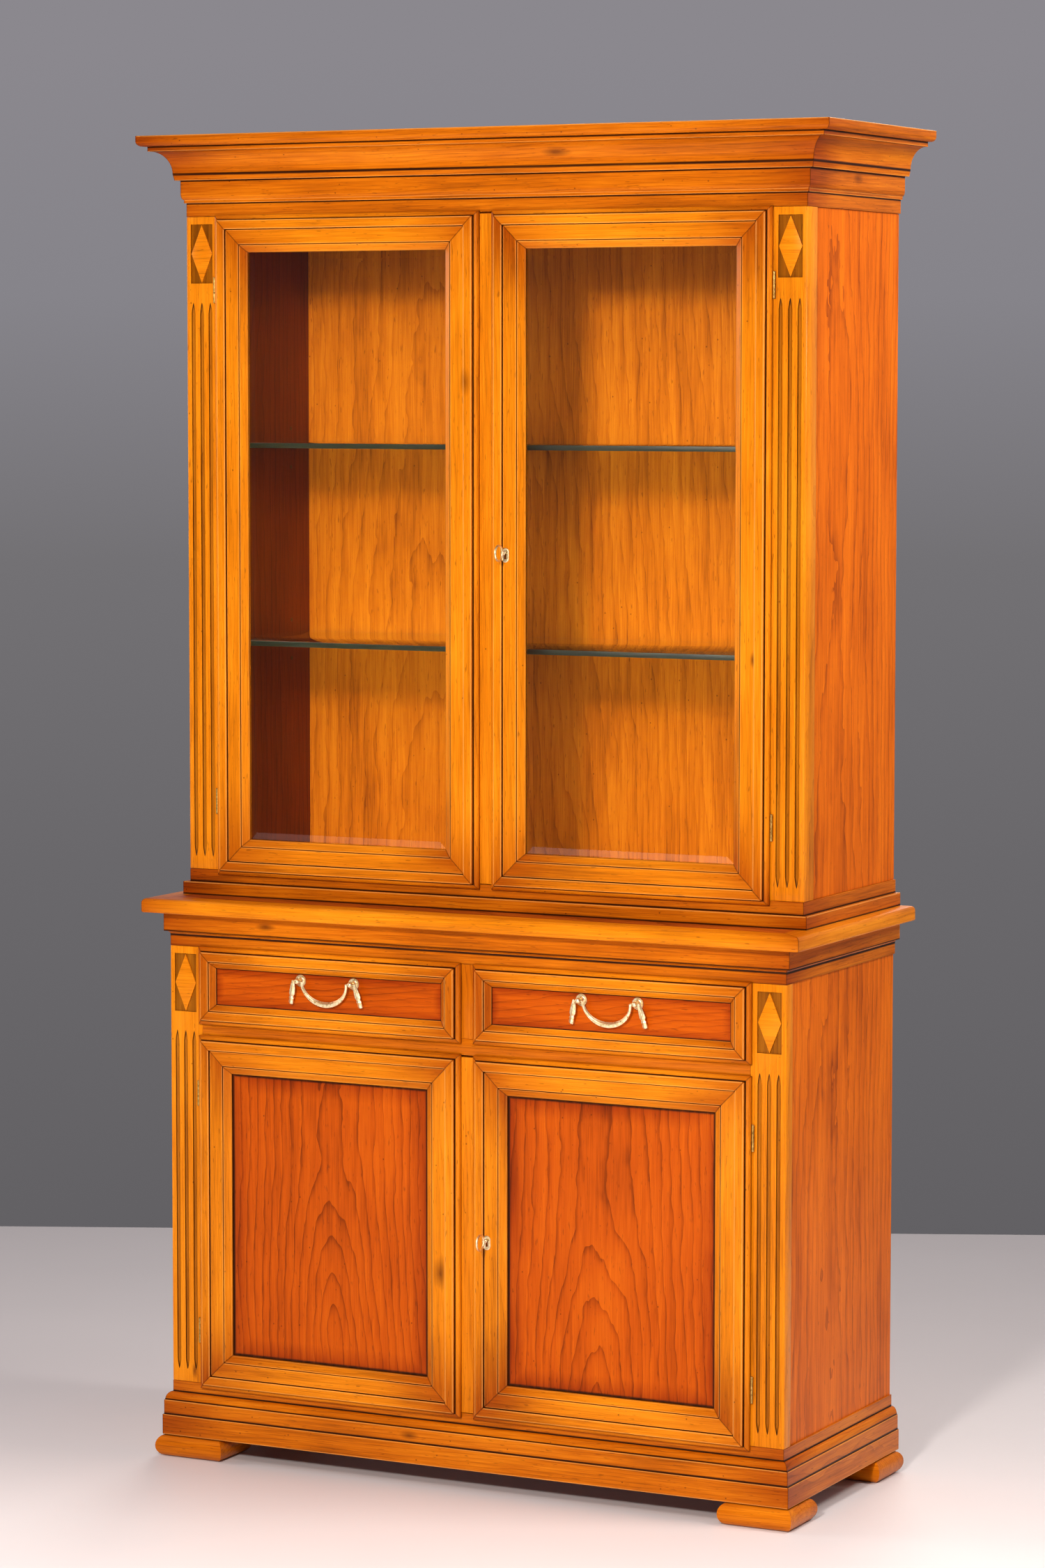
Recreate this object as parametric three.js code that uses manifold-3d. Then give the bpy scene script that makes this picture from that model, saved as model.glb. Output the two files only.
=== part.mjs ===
// China cabinet with glass doors: a two-drawer, two-door sideboard that carries a
// shallower upper case with two glazed doors, fluted corner posts and a cove cornice.
//
// Millimetres, +Z up. The front faces -Y and the left side faces -X. Depths are
// measured back from the front face of the lower corner posts, and the finished
// group is moved so that its origin is under the middle of the whole cabinet.

import * as THREE from 'three';
import { mergeVertices } from 'three/addons/utils/BufferGeometryUtils.js';
import Module from 'manifold-3d';

const wasm = await Module();
wasm.setup();

// ---------------------------------------------------------------- dimensions

// Carcass
const CARCASS_WIDTH = 1082;
const CARCASS_DEPTH = 430;
const UPPER_SETBACK = 63; // the upper case's front face lies this far behind the lower one
const BOARD = 18; // sides, floors and the wood behind the mouldings
const BACK_PANEL = 8;
const SIDE_INSET = 3; // the side panels lie this far inside the posts' outer faces
const GLUE = 0.3; // gap left in every glued, screwed or resting joint
const OVERCUT = 1; // how far a cut runs past a face, and a joined piece into its neighbour

// Corner posts
const POST_WIDTH = 59;
const LOWER_POST_DEPTH = 25;
const UPPER_POST_DEPTH = 38;
const LOWER_POST_HEIGHT = 712;
const UPPER_POST_HEIGHT = 1049;
const FLUTE_COUNT = 3;
const FLUTE_PITCH = 15.7;
const FLUTE_RADIUS = 3.4;
const FLUTE_DEPTH = 2.8;
const FLUTE_BOTTOM_MARGIN = 18; // post's lower end to the flutes
const FLUTE_TOP_MARGIN = 134; // post's upper end to the flutes
const RECESS_WIDTH = 40; // sunk field that holds the carved diamond
const RECESS_HEIGHT = 94;
const RECESS_DEPTH = 3;
const RECESS_TOP_MARGIN = 12;
const DIAMOND_MARGIN = 0.6;

// Heights of the horizontal members, from the floor up
const FOOT_HEIGHT = 35;
const PLINTH_HEIGHT = 33.5;
const BASE_BAND_HEIGHT = 23.5;
const BASE_OVOLO_HEIGHT = 13;
const BASE_RAIL_HEIGHT = 18;
const WAIST_RAIL_HEIGHT = 18;
const WAIST_STEP_HEIGHT = 5.5;
const WAIST_BAND_HEIGHT = 31;
const WORKTOP_THICKNESS = 23;
const WORKTOP_TOP_ROUND = 7;
const WORKTOP_BOTTOM_ROUND = 3;
const SUBBASE_BAND_HEIGHT = 20.5;
const SUBBASE_RAIL_HEIGHT = 20.5;
const ARCHITRAVE_HEIGHT = 21.5;
const ARCHITRAVE_LEDGE_HEIGHT = 5;
const FRIEZE_HEIGHT = 31;
const CORNICE_FILLET_HEIGHT = 9.5;
const COVE_HEIGHT = 36;
const CORNICE_STEP_HEIGHT = 7.5;
const CORNICE_BOARD_HEIGHT = 17;

// How far the members stand out from the carcass
const PLINTH_PROJECTION = 13;
const BASE_BAND_PROJECTION = 11;
const FOOT_PROJECTION = 22;
const WAIST_BAND_PROJECTION = 8;
const WORKTOP_PROJECTION = 34;
const SUBBASE_BAND_PROJECTION = 8.5;
const ARCHITRAVE_LEDGE_PROJECTION = 3;
const FRIEZE_PROJECTION = 7;
const CORNICE_FILLET_PROJECTION = 16;
const COVE_PROJECTION = 42;
const CORNICE_STEP_PROJECTION = 45;
const CORNICE_BOARD_PROJECTION = 59;
const CORNICE_BOARD_ROUND = 8;
const FRIEZE_COVE_HEIGHT = 10; // small cove between the ledge and the frieze
const CORNICE_FILLET_SPLAY = 2;
const EDGE_EASE = 1; // chamfer on the arrises of the mouldings and the door frames

// Feet: blocks whose four edges are half round
const FOOT_WIDTH = 124;
const FOOT_DEPTH = 102;
const FOOT_BULGE = 14;

// Doors and drawer fronts: lipped frames that cover the edges of their openings
const LIP_SIDE_OVERLAP = 3.5;
const LIP_BOTTOM_OVERLAP = 7;
const LIP_TOP_OVERLAP = 1.5;
const LIP_GAP = 1.4; // behind the lip, in front of the carcass
const LIP_WIDTH = 8;
const LIP_HEIGHT = 9.5;
const LIP_FLAT = 2; // flat between the lip's round and the fillet
const TONGUE_INSET = 9; // the part of the frame inside the opening, from the lip's edge
const TONGUE_DEPTH = 6.5;
const FILLET_WIDTH = 14.5;
const FILLET_HEIGHT = 16;
const BAND_WIDTH = 24;
const BAND_HEIGHT = 12.5;
const BEVEL_WIDTH = 13;
const BEVEL_HEIGHT = 4;
const REBATE_HEIGHT = 1.5;
const REBATE_WIDTH = 9;
const REVEAL = 22; // clear width between the two doors or the two drawers
const PANE_THICKNESS = 4;
const PANEL_THICKNESS = 6;
const DRAWER_BEVEL_WIDTH = 11;
const DRAWER_FIELD_HEIGHT = 5.5;

// Cover strip on the left door's meeting edge
const STRIP_EDGE_CLEARANCE = 1;
const STRIP_THICKNESS = 16;
const STRIP_END_CLEARANCE = 1.5;
const STRIP_TOP_GAP = 3;

// Drawers, the web that carries them and the shelves
const DRAWER_OPENING_HEIGHT = 117.5;
const DRAWER_RAIL_HEIGHT = 26;
const DIVIDER_WIDTH = 30;
const DRAWER_RUNNING_GAP = 3;
const DRAWER_TOP_GAP = 8;
const DRAWER_BOTTOM_GAP = 1;
const DRAWER_BACK_GAP = 22;
const DRAWER_WALL = 12;
const DRAWER_BOTTOM = 6;
const GUIDE_HEIGHT = 18;
const WOOD_SHELF_HEIGHT = 277; // above the cupboard floor
const WOOD_SHELF_SETBACK = 40;
const GLASS_SHELF_HEIGHTS = [361.5, 680]; // above the upper case's floor
const GLASS_SHELF_THICKNESS = 8;
const GLASS_SHELF_SETBACK = 4; // behind the upper posts
const SHELF_SIDE_CLEARANCE = 1;
const SHELF_BACK_CLEARANCE = 6;
const PIN_RADIUS = 3;
const PIN_LENGTH = 11;
const PIN_EDGE_DISTANCE = 60;

// Butt hinges
const HINGE_LENGTH = 41.5;
const HINGE_BARREL_RADIUS = 2.2;
const HINGE_BARREL_GAP = 0.7; // between the barrel and the post's face
const HINGE_LEAF = 0.8;
const HINGE_LEAF_DEPTH = 18;
const UPPER_HINGE_MARGIN = 98;
const LOWER_HINGE_MARGIN = 74;

// Locks on the right doors
const KEY_INSET = 28.5; // key's axis from the lip's edge
const KEY_SHAFT_RADIUS = 2.2;
const KEY_BOW_RADIUS = 12;
const KEY_BOW_WIRE = 1.7;
const KEY_NECK_LENGTH = 11; // band's face to the bow
const KEY_TIP_DEPTH = 12.5;
const KEY_BIT_HEIGHT = 7.5;
const KEY_BIT_THICKNESS = 3;
const KEY_BIT_WIDTH = 4;
const KEY_COLLAR_RADIUS = 3.4;
const KEY_COLLAR_WIDTH = 2.5;
const KEY_COLLAR_OFFSET = 1.5; // from the bow's wire
const KEYHOLE_CLEARANCE = 1;
const LOCK_WALL = 1.5;
const LOCK_WIDTH = 38;
const LOCK_HEIGHT = 37;
const LOCK_DEPTH = 11.5;
const BOLT_FRONT = 8.5; // bolt's front face behind the case's front plane
const BOLT_THICKNESS = 5;
const BOLT_HEAD_LENGTH = 13;
const BOLT_LENGTH = 31;
const BOLT_BELOW = 8;
const BOLT_ABOVE = 9;
const BOLT_TAIL_BOTTOM = 3.5;
const BOLT_CLEARANCE = 0.4;
const BOLT_END_CLEARANCE = 1.5; // past the thrown bolt's tip
const BOLT_SETBACK = 2; // retracted bolt's tip behind the lip's edge
const BOLT_THROW = 7.85;

// Drawer pulls: a swag that swings on two rosette posts
const PULL_SPACING = 96;
const PULL_ABOVE_CENTRE = 19;
const ROSETTE_RADIUS = 9.6;
const PULL_STANDOFF = 13;
const PULL_HEAD_RADIUS = 4.6;
const PULL_PIN_RADIUS = 1.5;
const PULL_HOLE_RADIUS = 2;
const SWAG_DROP = 36;
const SWAG_END_RADIUS = 2.2;
const SWAG_MIDDLE_RADIUS = 4.6;
const SWAG_GAP = 0.6; // between the swag's ends and the post heads
const SWAG_LEAN = 0.22; // how far the swag leans back towards the drawer as it hangs
const TASSEL_LENGTH = 36;
const TASSEL_SPLAY = 8;
const TASSEL_NECK_RADIUS = 2.6;

// Turned outlines of the pull: [radius, distance in front of the drawer] for the
// rosette and its stem, and [share of the length, radius] for a tassel.
const ROSETTE_OUTLINE = [
  [0, 0], [ROSETTE_RADIUS, 0], [ROSETTE_RADIUS, 1.4], [8.2, 2.6], [5.6, 3.2], [3, 4.4], [2.8, 8.6],
];
const TASSEL_OUTLINE = [
  [-0.06, 1.8], [0, TASSEL_NECK_RADIUS], [0.2, 3], [0.5, 4.4], [0.72, 3.4], [0.8, 3.2], [0.94, 4.6], [1, 3.6],
];

// ------------------------------------------------------------ derived places

const HALF_WIDTH = CARCASS_WIDTH / 2;
const POST_INNER = HALF_WIDTH - POST_WIDTH;
const SIDE_OUTER = HALF_WIDTH - SIDE_INSET;
const SIDE_INNER = SIDE_OUTER - BOARD;
const BACK_INNER = CARCASS_DEPTH - BACK_PANEL - GLUE;

const PLINTH_TOP = FOOT_HEIGHT + PLINTH_HEIGHT;
const BASE_BAND_TOP = PLINTH_TOP + BASE_BAND_HEIGHT;
const BASE_OVOLO_TOP = BASE_BAND_TOP + BASE_OVOLO_HEIGHT;
const BASE_TOP = BASE_OVOLO_TOP + BASE_RAIL_HEIGHT;
const LOWER_POST_TOP = BASE_TOP + LOWER_POST_HEIGHT;
const WAIST_RAIL_TOP = LOWER_POST_TOP + WAIST_RAIL_HEIGHT;
const WAIST_STEP_TOP = WAIST_RAIL_TOP + WAIST_STEP_HEIGHT;
const WAIST_TOP = WAIST_STEP_TOP + WAIST_BAND_HEIGHT;
const WORKTOP_TOP = WAIST_TOP + WORKTOP_THICKNESS;
const SUBBASE_BAND_TOP = WORKTOP_TOP + SUBBASE_BAND_HEIGHT;
const SUBBASE_TOP = SUBBASE_BAND_TOP + SUBBASE_RAIL_HEIGHT;
const UPPER_POST_TOP = SUBBASE_TOP + UPPER_POST_HEIGHT;
const ARCHITRAVE_TOP = UPPER_POST_TOP + ARCHITRAVE_HEIGHT;
const LEDGE_TOP = ARCHITRAVE_TOP + ARCHITRAVE_LEDGE_HEIGHT;
const FRIEZE_TOP = LEDGE_TOP + FRIEZE_HEIGHT;
const CORNICE_FILLET_TOP = FRIEZE_TOP + CORNICE_FILLET_HEIGHT;
const COVE_TOP = CORNICE_FILLET_TOP + COVE_HEIGHT;
const CORNICE_STEP_TOP = COVE_TOP + CORNICE_STEP_HEIGHT;
const CABINET_TOP = CORNICE_STEP_TOP + CORNICE_BOARD_HEIGHT;

const DRAWER_SILL = LOWER_POST_TOP - DRAWER_OPENING_HEIGHT;
const CUPBOARD_HEAD = DRAWER_SILL - DRAWER_RAIL_HEIGHT;

const LEAF_OUTER = POST_INNER + LIP_SIDE_OVERLAP; // outer edge of every door and drawer lip
const LEAF_INNER = REVEAL / 2;
const BAND_START = LIP_WIDTH + FILLET_WIDTH;
const BEVEL_START = BAND_START + BAND_WIDTH;
const SIGHT = BEVEL_START + BEVEL_WIDTH; // lip's edge to the glass or panel
const HINGE_AXIS_X = LEAF_OUTER + HINGE_BARREL_RADIUS + GLUE;
const HINGE_STANDOFF = HINGE_BARREL_RADIUS + HINGE_BARREL_GAP; // barrel's axis in front of the post's face
const KEY_X = LEAF_INNER + KEY_INSET;
const KEY_BOW_CENTRE = BAND_HEIGHT + KEY_NECK_LENGTH + KEY_BOW_RADIUS; // in front of the face
const SWAG_HALF_WIDTH = PULL_SPACING / 2 - PULL_HEAD_RADIUS - SWAG_END_RADIUS - SWAG_GAP;
const TASSEL_OFFSET = PULL_HEAD_RADIUS + TASSEL_NECK_RADIUS; // outside the post's centre
const FOREMOST = KEY_BOW_CENTRE + KEY_BOW_RADIUS + KEY_BOW_WIRE;
const ORIGIN_DEPTH = (CARCASS_DEPTH - FOREMOST) / 2;

// ----------------------------------------------------------------- materials

const cherry = new THREE.MeshStandardMaterial({ color: 0xcf7a26, roughness: 0.38, metalness: 0 });
const veneer = new THREE.MeshStandardMaterial({ color: 0xb9561a, roughness: 0.36, metalness: 0 });
const drawerWood = new THREE.MeshStandardMaterial({ color: 0xd9b27c, roughness: 0.6, metalness: 0 });
const brass = new THREE.MeshStandardMaterial({ color: 0xd9c58c, roughness: 0.32, metalness: 1 });
const steel = new THREE.MeshStandardMaterial({ color: 0x8d8a84, roughness: 0.4, metalness: 1 });
const glass = new THREE.MeshStandardMaterial({
  color: 0xd8e6e0, roughness: 0.05, metalness: 0, transparent: true, opacity: 0.3,
});

// ---------------------------------------------------------- geometry helpers

const cabinet = new THREE.Group();

function add(name, geometry, material) {
  const mesh = new THREE.Mesh(geometry, material);
  mesh.name = name;
  cabinet.add(mesh);
  return mesh;
}

function block(x0, x1, y0, y1, z0, z1) {
  const geometry = new THREE.BoxGeometry(x1 - x0, y1 - y0, z1 - z0);
  return geometry.translate((x0 + x1) / 2, (y0 + y1) / 2, (z0 + z1) / 2);
}

// Mirrors a span to the left side of the cabinet when side is -1.
function span(side, near, far) {
  return side > 0 ? [near, far] : [-far, -near];
}

// Points of an arc from one angle to another, in degrees, with its own two radii.
function arc(centreA, centreB, radiusA, radiusB, from, to, steps) {
  const points = [];
  for (let i = 0; i <= steps; i += 1) {
    const angle = THREE.MathUtils.degToRad(from + ((to - from) * i) / steps);
    points.push([centreA + radiusA * Math.cos(angle), centreB + radiusB * Math.sin(angle)]);
  }
  return points;
}

function signedVolume(points, faces) {
  let volume = 0;
  for (const [a, b, c] of faces) {
    volume += new THREE.Vector3(...points[a])
      .dot(new THREE.Vector3(...points[b]).cross(new THREE.Vector3(...points[c])));
  }
  return volume / 6;
}

// Skins a run of equal rings. A closed run joins its last ring to its first, and
// an open one gets an end cap whose triangles are those of the flat outline.
function loft(rings, outline) {
  const count = rings[0].length;
  const points = rings.flat();
  const faces = [];
  const runs = outline ? rings.length - 1 : rings.length;
  for (let ring = 0; ring < runs; ring += 1) {
    const here = ring * count;
    const next = ((ring + 1) % rings.length) * count;
    for (let i = 0; i < count; i += 1) {
      const j = (i + 1) % count;
      faces.push([here + i, here + j, next + j], [here + i, next + j, next + i]);
    }
  }
  if (outline) {
    const flat = outline.map(([a, b]) => new THREE.Vector2(a, b));
    const last = (rings.length - 1) * count;
    const turn = THREE.ShapeUtils.isClockWise(flat) ? -1 : 1;
    for (const [a, b, c] of THREE.ShapeUtils.triangulateShape(flat, [])) {
      const [first, second] = turn > 0 ? [c, b] : [b, c];
      faces.push([a, first, second], [last + a, last + second, last + first]);
    }
  }
  const outward = signedVolume(points, faces) > 0;
  const geometry = new THREE.BufferGeometry();
  geometry.setAttribute('position', new THREE.Float32BufferAttribute(points.flat(), 3));
  geometry.setIndex(faces.flatMap(([a, b, c]) => (outward ? [a, b, c] : [a, c, b])));
  return geometry;
}

function toSolid(geometry) {
  const bare = geometry.clone();
  bare.deleteAttribute('normal');
  bare.deleteAttribute('uv');
  const merged = mergeVertices(bare, 1e-4);
  return new wasm.Manifold(new wasm.Mesh({
    numProp: 3,
    vertProperties: new Float32Array(merged.attributes.position.array),
    triVerts: new Uint32Array(merged.index.array),
  }));
}

function toGeometry(solid) {
  const mesh = solid.getMesh();
  const geometry = new THREE.BufferGeometry();
  geometry.setAttribute('position', new THREE.BufferAttribute(mesh.vertProperties, 3));
  geometry.setIndex(new THREE.BufferAttribute(mesh.triVerts, 1));
  return geometry;
}

function join(...geometries) {
  return toGeometry(geometries.map(toSolid).reduce((whole, piece) => whole.add(piece)));
}

function cut(geometry, ...tools) {
  return toGeometry(tools.map(toSolid).reduce((whole, tool) => whole.subtract(tool), toSolid(geometry)));
}

function rod(axis, radius, from, to, across, sides = 12) {
  const geometry = new THREE.CylinderGeometry(radius, radius, to - from, sides);
  const middle = (from + to) / 2;
  if (axis === 'x') {
    return geometry.rotateZ(Math.PI / 2).translate(middle, across[0], across[1]);
  }
  if (axis === 'y') {
    return geometry.translate(across[0], middle, across[1]);
  }
  return geometry.rotateX(Math.PI / 2).translate(across[0], across[1], middle);
}

// A moulding that runs round the front and both sides with mitred front corners.
// Its outline is a list of [projection, height], with negative projections inside.
function surround(outline, front) {
  const corners = [
    (p) => [-HALF_WIDTH - p, CARCASS_DEPTH],
    (p) => [-HALF_WIDTH - p, front - p],
    (p) => [HALF_WIDTH + p, front - p],
    (p) => [HALF_WIDTH + p, CARCASS_DEPTH],
  ];
  return loft(corners.map((corner) => outline.map(([p, z]) => [...corner(p), z])), outline);
}

// A mitred frame round a rectangle. Its outline is a list of [inset, height], with
// the inset measured from the rectangle and the height forward from the face.
function mitredFrame(outline, [x0, x1, z0, z1], face) {
  const corners = [
    (u) => [x0 + u, z0 + u],
    (u) => [x1 - u, z0 + u],
    (u) => [x1 - u, z1 - u],
    (u) => [x0 + u, z1 - u],
  ];
  return loft(corners.map((corner) => outline.map(([u, h]) => {
    const [x, z] = corner(u);
    return [x, face - h, z];
  })));
}

// ------------------------------------------------------------ feet and base

function foot(side, y0) {
  const [x0, x1] = span(side, HALF_WIDTH + FOOT_PROJECTION - FOOT_WIDTH, HALF_WIDTH + FOOT_PROJECTION);
  const half = (FOOT_HEIGHT - GLUE) / 2;
  const rings = arc(FOOT_BULGE, half, FOOT_BULGE, half, 270, 90, 8).map(([inset, z]) => [
    [x0 + inset, y0 + inset, z],
    [x1 - inset, y0 + inset, z],
    [x1 - inset, y0 + FOOT_DEPTH - inset, z],
    [x0 + inset, y0 + FOOT_DEPTH - inset, z],
  ]);
  return loft(rings, [[0, 0], [1, 0], [1, 1], [0, 1]]);
}

for (const [label, side] of [['left', -1], ['right', 1]]) {
  add(`foot_front_${label}`, foot(side, -FOOT_PROJECTION), cherry);
  add(`foot_back_${label}`, foot(side, CARCASS_DEPTH - FOOT_DEPTH), cherry);
}

function baseMoulding() {
  const step = BASE_BAND_PROJECTION;
  return surround([
    [-BOARD, FOOT_HEIGHT],
    [PLINTH_PROJECTION, FOOT_HEIGHT],
    [PLINTH_PROJECTION, PLINTH_TOP - EDGE_EASE],
    [step, PLINTH_TOP],
    [step, BASE_BAND_TOP - EDGE_EASE],
    [step - EDGE_EASE, BASE_BAND_TOP],
    ...arc(0, BASE_BAND_TOP, step - EDGE_EASE, BASE_OVOLO_HEIGHT, 15, 90, 4),
    [0, BASE_TOP],
    [-BOARD, BASE_TOP],
  ], 0);
}

add('base_moulding', baseMoulding(), cherry);
add('lower_floor', block(
  GLUE + BOARD - HALF_WIDTH, HALF_WIDTH - BOARD - GLUE,
  BOARD + GLUE, BACK_INNER,
  BASE_TOP - BOARD, BASE_TOP,
), veneer);

// -------------------------------------------------- posts, sides and backs

function flute(x, face, z0, z1) {
  const half = (z1 - z0) / 2 - FLUTE_RADIUS;
  const profile = [
    ...arc(0, -half, FLUTE_RADIUS, FLUTE_RADIUS, -90, 0, 3),
    ...arc(0, half, FLUTE_RADIUS, FLUTE_RADIUS, 0, 90, 3),
  ].map(([r, z]) => new THREE.Vector2(Math.max(r, 0), z));
  profile[0].x = 0;
  profile[profile.length - 1].x = 0;
  const geometry = new THREE.LatheGeometry(profile, 10);
  const sunk = FLUTE_DEPTH - FLUTE_RADIUS;
  return geometry.rotateX(Math.PI / 2).translate(x, face + sunk, (z0 + z1) / 2);
}

function diamond(x, z, halfWidth, halfHeight, y0, y1) {
  const outline = [[x, z - halfHeight], [x + halfWidth, z], [x, z + halfHeight], [x - halfWidth, z]];
  return loft([y0, y1].map((y) => outline.map(([a, b]) => [a, y, b])), outline);
}

function post(side, face, depth, z0, z1) {
  const [x0, x1] = span(side, POST_INNER, HALF_WIDTH);
  const centre = side * (LEAF_OUTER + HALF_WIDTH) / 2;
  const flutes = [];
  for (let i = 0; i < FLUTE_COUNT; i += 1) {
    const x = centre + (i - (FLUTE_COUNT - 1) / 2) * FLUTE_PITCH;
    flutes.push(flute(x, face, z0 + FLUTE_BOTTOM_MARGIN, z1 - FLUTE_TOP_MARGIN));
  }
  const top = z1 - RECESS_TOP_MARGIN;
  const middle = top - RECESS_HEIGHT / 2;
  const recess = cut(
    block(
      centre - RECESS_WIDTH / 2, centre + RECESS_WIDTH / 2,
      face - OVERCUT, face + RECESS_DEPTH,
      top - RECESS_HEIGHT, top,
    ),
    diamond(
      centre, middle,
      RECESS_WIDTH / 2 - DIAMOND_MARGIN, RECESS_HEIGHT / 2 - DIAMOND_MARGIN,
      face - 2 * OVERCUT, face + RECESS_DEPTH + OVERCUT,
    ),
  );
  const shaft = block(x0, x1, face, face + depth, z0 + GLUE, z1 - GLUE);
  return cut(shaft, recess, ...flutes);
}

function sidePanel(side, front, z0, z1) {
  const [x0, x1] = span(side, SIDE_INNER, SIDE_OUTER);
  return block(x0, x1, front + GLUE, CARCASS_DEPTH, z0 + GLUE, z1 - GLUE);
}

function backPanel(z0, z1) {
  const half = SIDE_INNER - GLUE;
  return block(-half, half, CARCASS_DEPTH - BACK_PANEL, CARCASS_DEPTH, z0 + GLUE, z1 - GLUE);
}

// Pins that stand out of an upper side panel under the glass shelves.
function shelfPins(side) {
  const pins = [];
  for (const height of GLASS_SHELF_HEIGHTS) {
    const z = SUBBASE_TOP + height - PIN_RADIUS - GLUE;
    const front = UPPER_SETBACK + UPPER_POST_DEPTH + PIN_EDGE_DISTANCE;
    for (const y of [front, BACK_INNER - PIN_EDGE_DISTANCE]) {
      const [x0, x1] = span(side, SIDE_INNER - PIN_LENGTH, SIDE_INNER + PIN_RADIUS);
      pins.push(rod('x', PIN_RADIUS, x0, x1, [y, z], 8));
    }
  }
  return pins;
}

for (const [label, side] of [['left', -1], ['right', 1]]) {
  add(`lower_post_${label}`, post(side, 0, LOWER_POST_DEPTH, BASE_TOP, LOWER_POST_TOP), cherry);
  add(`lower_side_${label}`, sidePanel(side, LOWER_POST_DEPTH, BASE_TOP, LOWER_POST_TOP), veneer);
  add(
    `upper_post_${label}`,
    post(side, UPPER_SETBACK, UPPER_POST_DEPTH, SUBBASE_TOP, UPPER_POST_TOP),
    cherry,
  );
  const panel = sidePanel(side, UPPER_SETBACK + UPPER_POST_DEPTH, SUBBASE_TOP, UPPER_POST_TOP);
  add(`upper_side_${label}`, join(panel, ...shelfPins(side)), veneer);
}
add('lower_back', backPanel(BASE_TOP - BOARD, WAIST_TOP), veneer);
add('upper_back', backPanel(WORKTOP_TOP, UPPER_POST_TOP + BOARD), veneer);

// ------------------------------------------------- waist, worktop and shelf

function waistMoulding() {
  const step = WAIST_BAND_PROJECTION;
  return surround([
    [-BOARD, LOWER_POST_TOP],
    [0, LOWER_POST_TOP],
    [0, WAIST_RAIL_TOP],
    ...arc(step - EDGE_EASE, WAIST_RAIL_TOP, EDGE_EASE - step, WAIST_STEP_HEIGHT, 20, 90, 3),
    [step, WAIST_STEP_TOP + EDGE_EASE],
    [step, WAIST_TOP - GLUE],
    [-BOARD, WAIST_TOP - GLUE],
  ], 0);
}

// The worktop's top edge is well rounded and its lower edge only eased.
function worktop() {
  const topRound = WORKTOP_TOP_ROUND;
  const bottomRound = WORKTOP_BOTTOM_ROUND;
  const edge = [
    ...arc(bottomRound, WAIST_TOP + bottomRound, bottomRound, bottomRound, 270, 180, 3),
    ...arc(topRound, WORKTOP_TOP - topRound, topRound, topRound, 180, 90, 4),
  ];
  const reach = HALF_WIDTH + WORKTOP_PROJECTION;
  const rings = edge.map(([inset, z]) => [
    [inset - reach, inset - WORKTOP_PROJECTION, z],
    [reach - inset, inset - WORKTOP_PROJECTION, z],
    [reach - inset, CARCASS_DEPTH, z],
    [inset - reach, CARCASS_DEPTH, z],
  ]);
  return loft(rings, [[0, 0], [1, 0], [1, 1], [0, 1]]);
}

// The rail under the drawers, the deck behind it, the divider between the drawers
// with its partition, and the guides beside them are glued up as one web.
function drawerWeb() {
  const rail = block(GLUE - POST_INNER, POST_INNER - GLUE, 0, LOWER_POST_DEPTH + BOARD, CUPBOARD_HEAD, DRAWER_SILL);
  const reach = SIDE_INNER - GLUE;
  const behindPosts = LOWER_POST_DEPTH + GLUE;
  const back = BACK_INNER;
  const deck = block(-reach, reach, behindPosts, back, DRAWER_SILL - BOARD, DRAWER_SILL);
  const top = LOWER_POST_TOP - GLUE;
  const divider = block(-DIVIDER_WIDTH / 2, DIVIDER_WIDTH / 2, 0, LOWER_POST_DEPTH, DRAWER_SILL - OVERCUT, top);
  const partition = block(-BOARD / 2, BOARD / 2, LOWER_POST_DEPTH - OVERCUT, back, DRAWER_SILL - OVERCUT, top);
  const guides = [-1, 1].map((side) => {
    const [x0, x1] = span(side, POST_INNER, reach);
    return block(x0, x1, behindPosts, back, DRAWER_SILL - OVERCUT, DRAWER_SILL + GUIDE_HEIGHT);
  });
  return join(rail, deck, divider, partition, ...guides);
}

add('waist_moulding', waistMoulding(), cherry);
add('worktop', worktop(), cherry);
add('drawer_web', drawerWeb(), cherry);
add('wood_shelf', block(
  SHELF_SIDE_CLEARANCE - SIDE_INNER, SIDE_INNER - SHELF_SIDE_CLEARANCE,
  LOWER_POST_DEPTH + WOOD_SHELF_SETBACK, BACK_INNER,
  BASE_TOP + WOOD_SHELF_HEIGHT, BASE_TOP + WOOD_SHELF_HEIGHT + BOARD,
), veneer);

// ------------------------------------------------------ upper case and cornice

function subbaseMoulding() {
  const step = SUBBASE_BAND_PROJECTION;
  return surround([
    [-BOARD, WORKTOP_TOP + GLUE],
    [step, WORKTOP_TOP + GLUE],
    [step, SUBBASE_BAND_TOP - EDGE_EASE],
    [step - EDGE_EASE, SUBBASE_BAND_TOP],
    [0, SUBBASE_BAND_TOP],
    [0, SUBBASE_TOP],
    [-BOARD, SUBBASE_TOP],
  ], UPPER_SETBACK);
}

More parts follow.
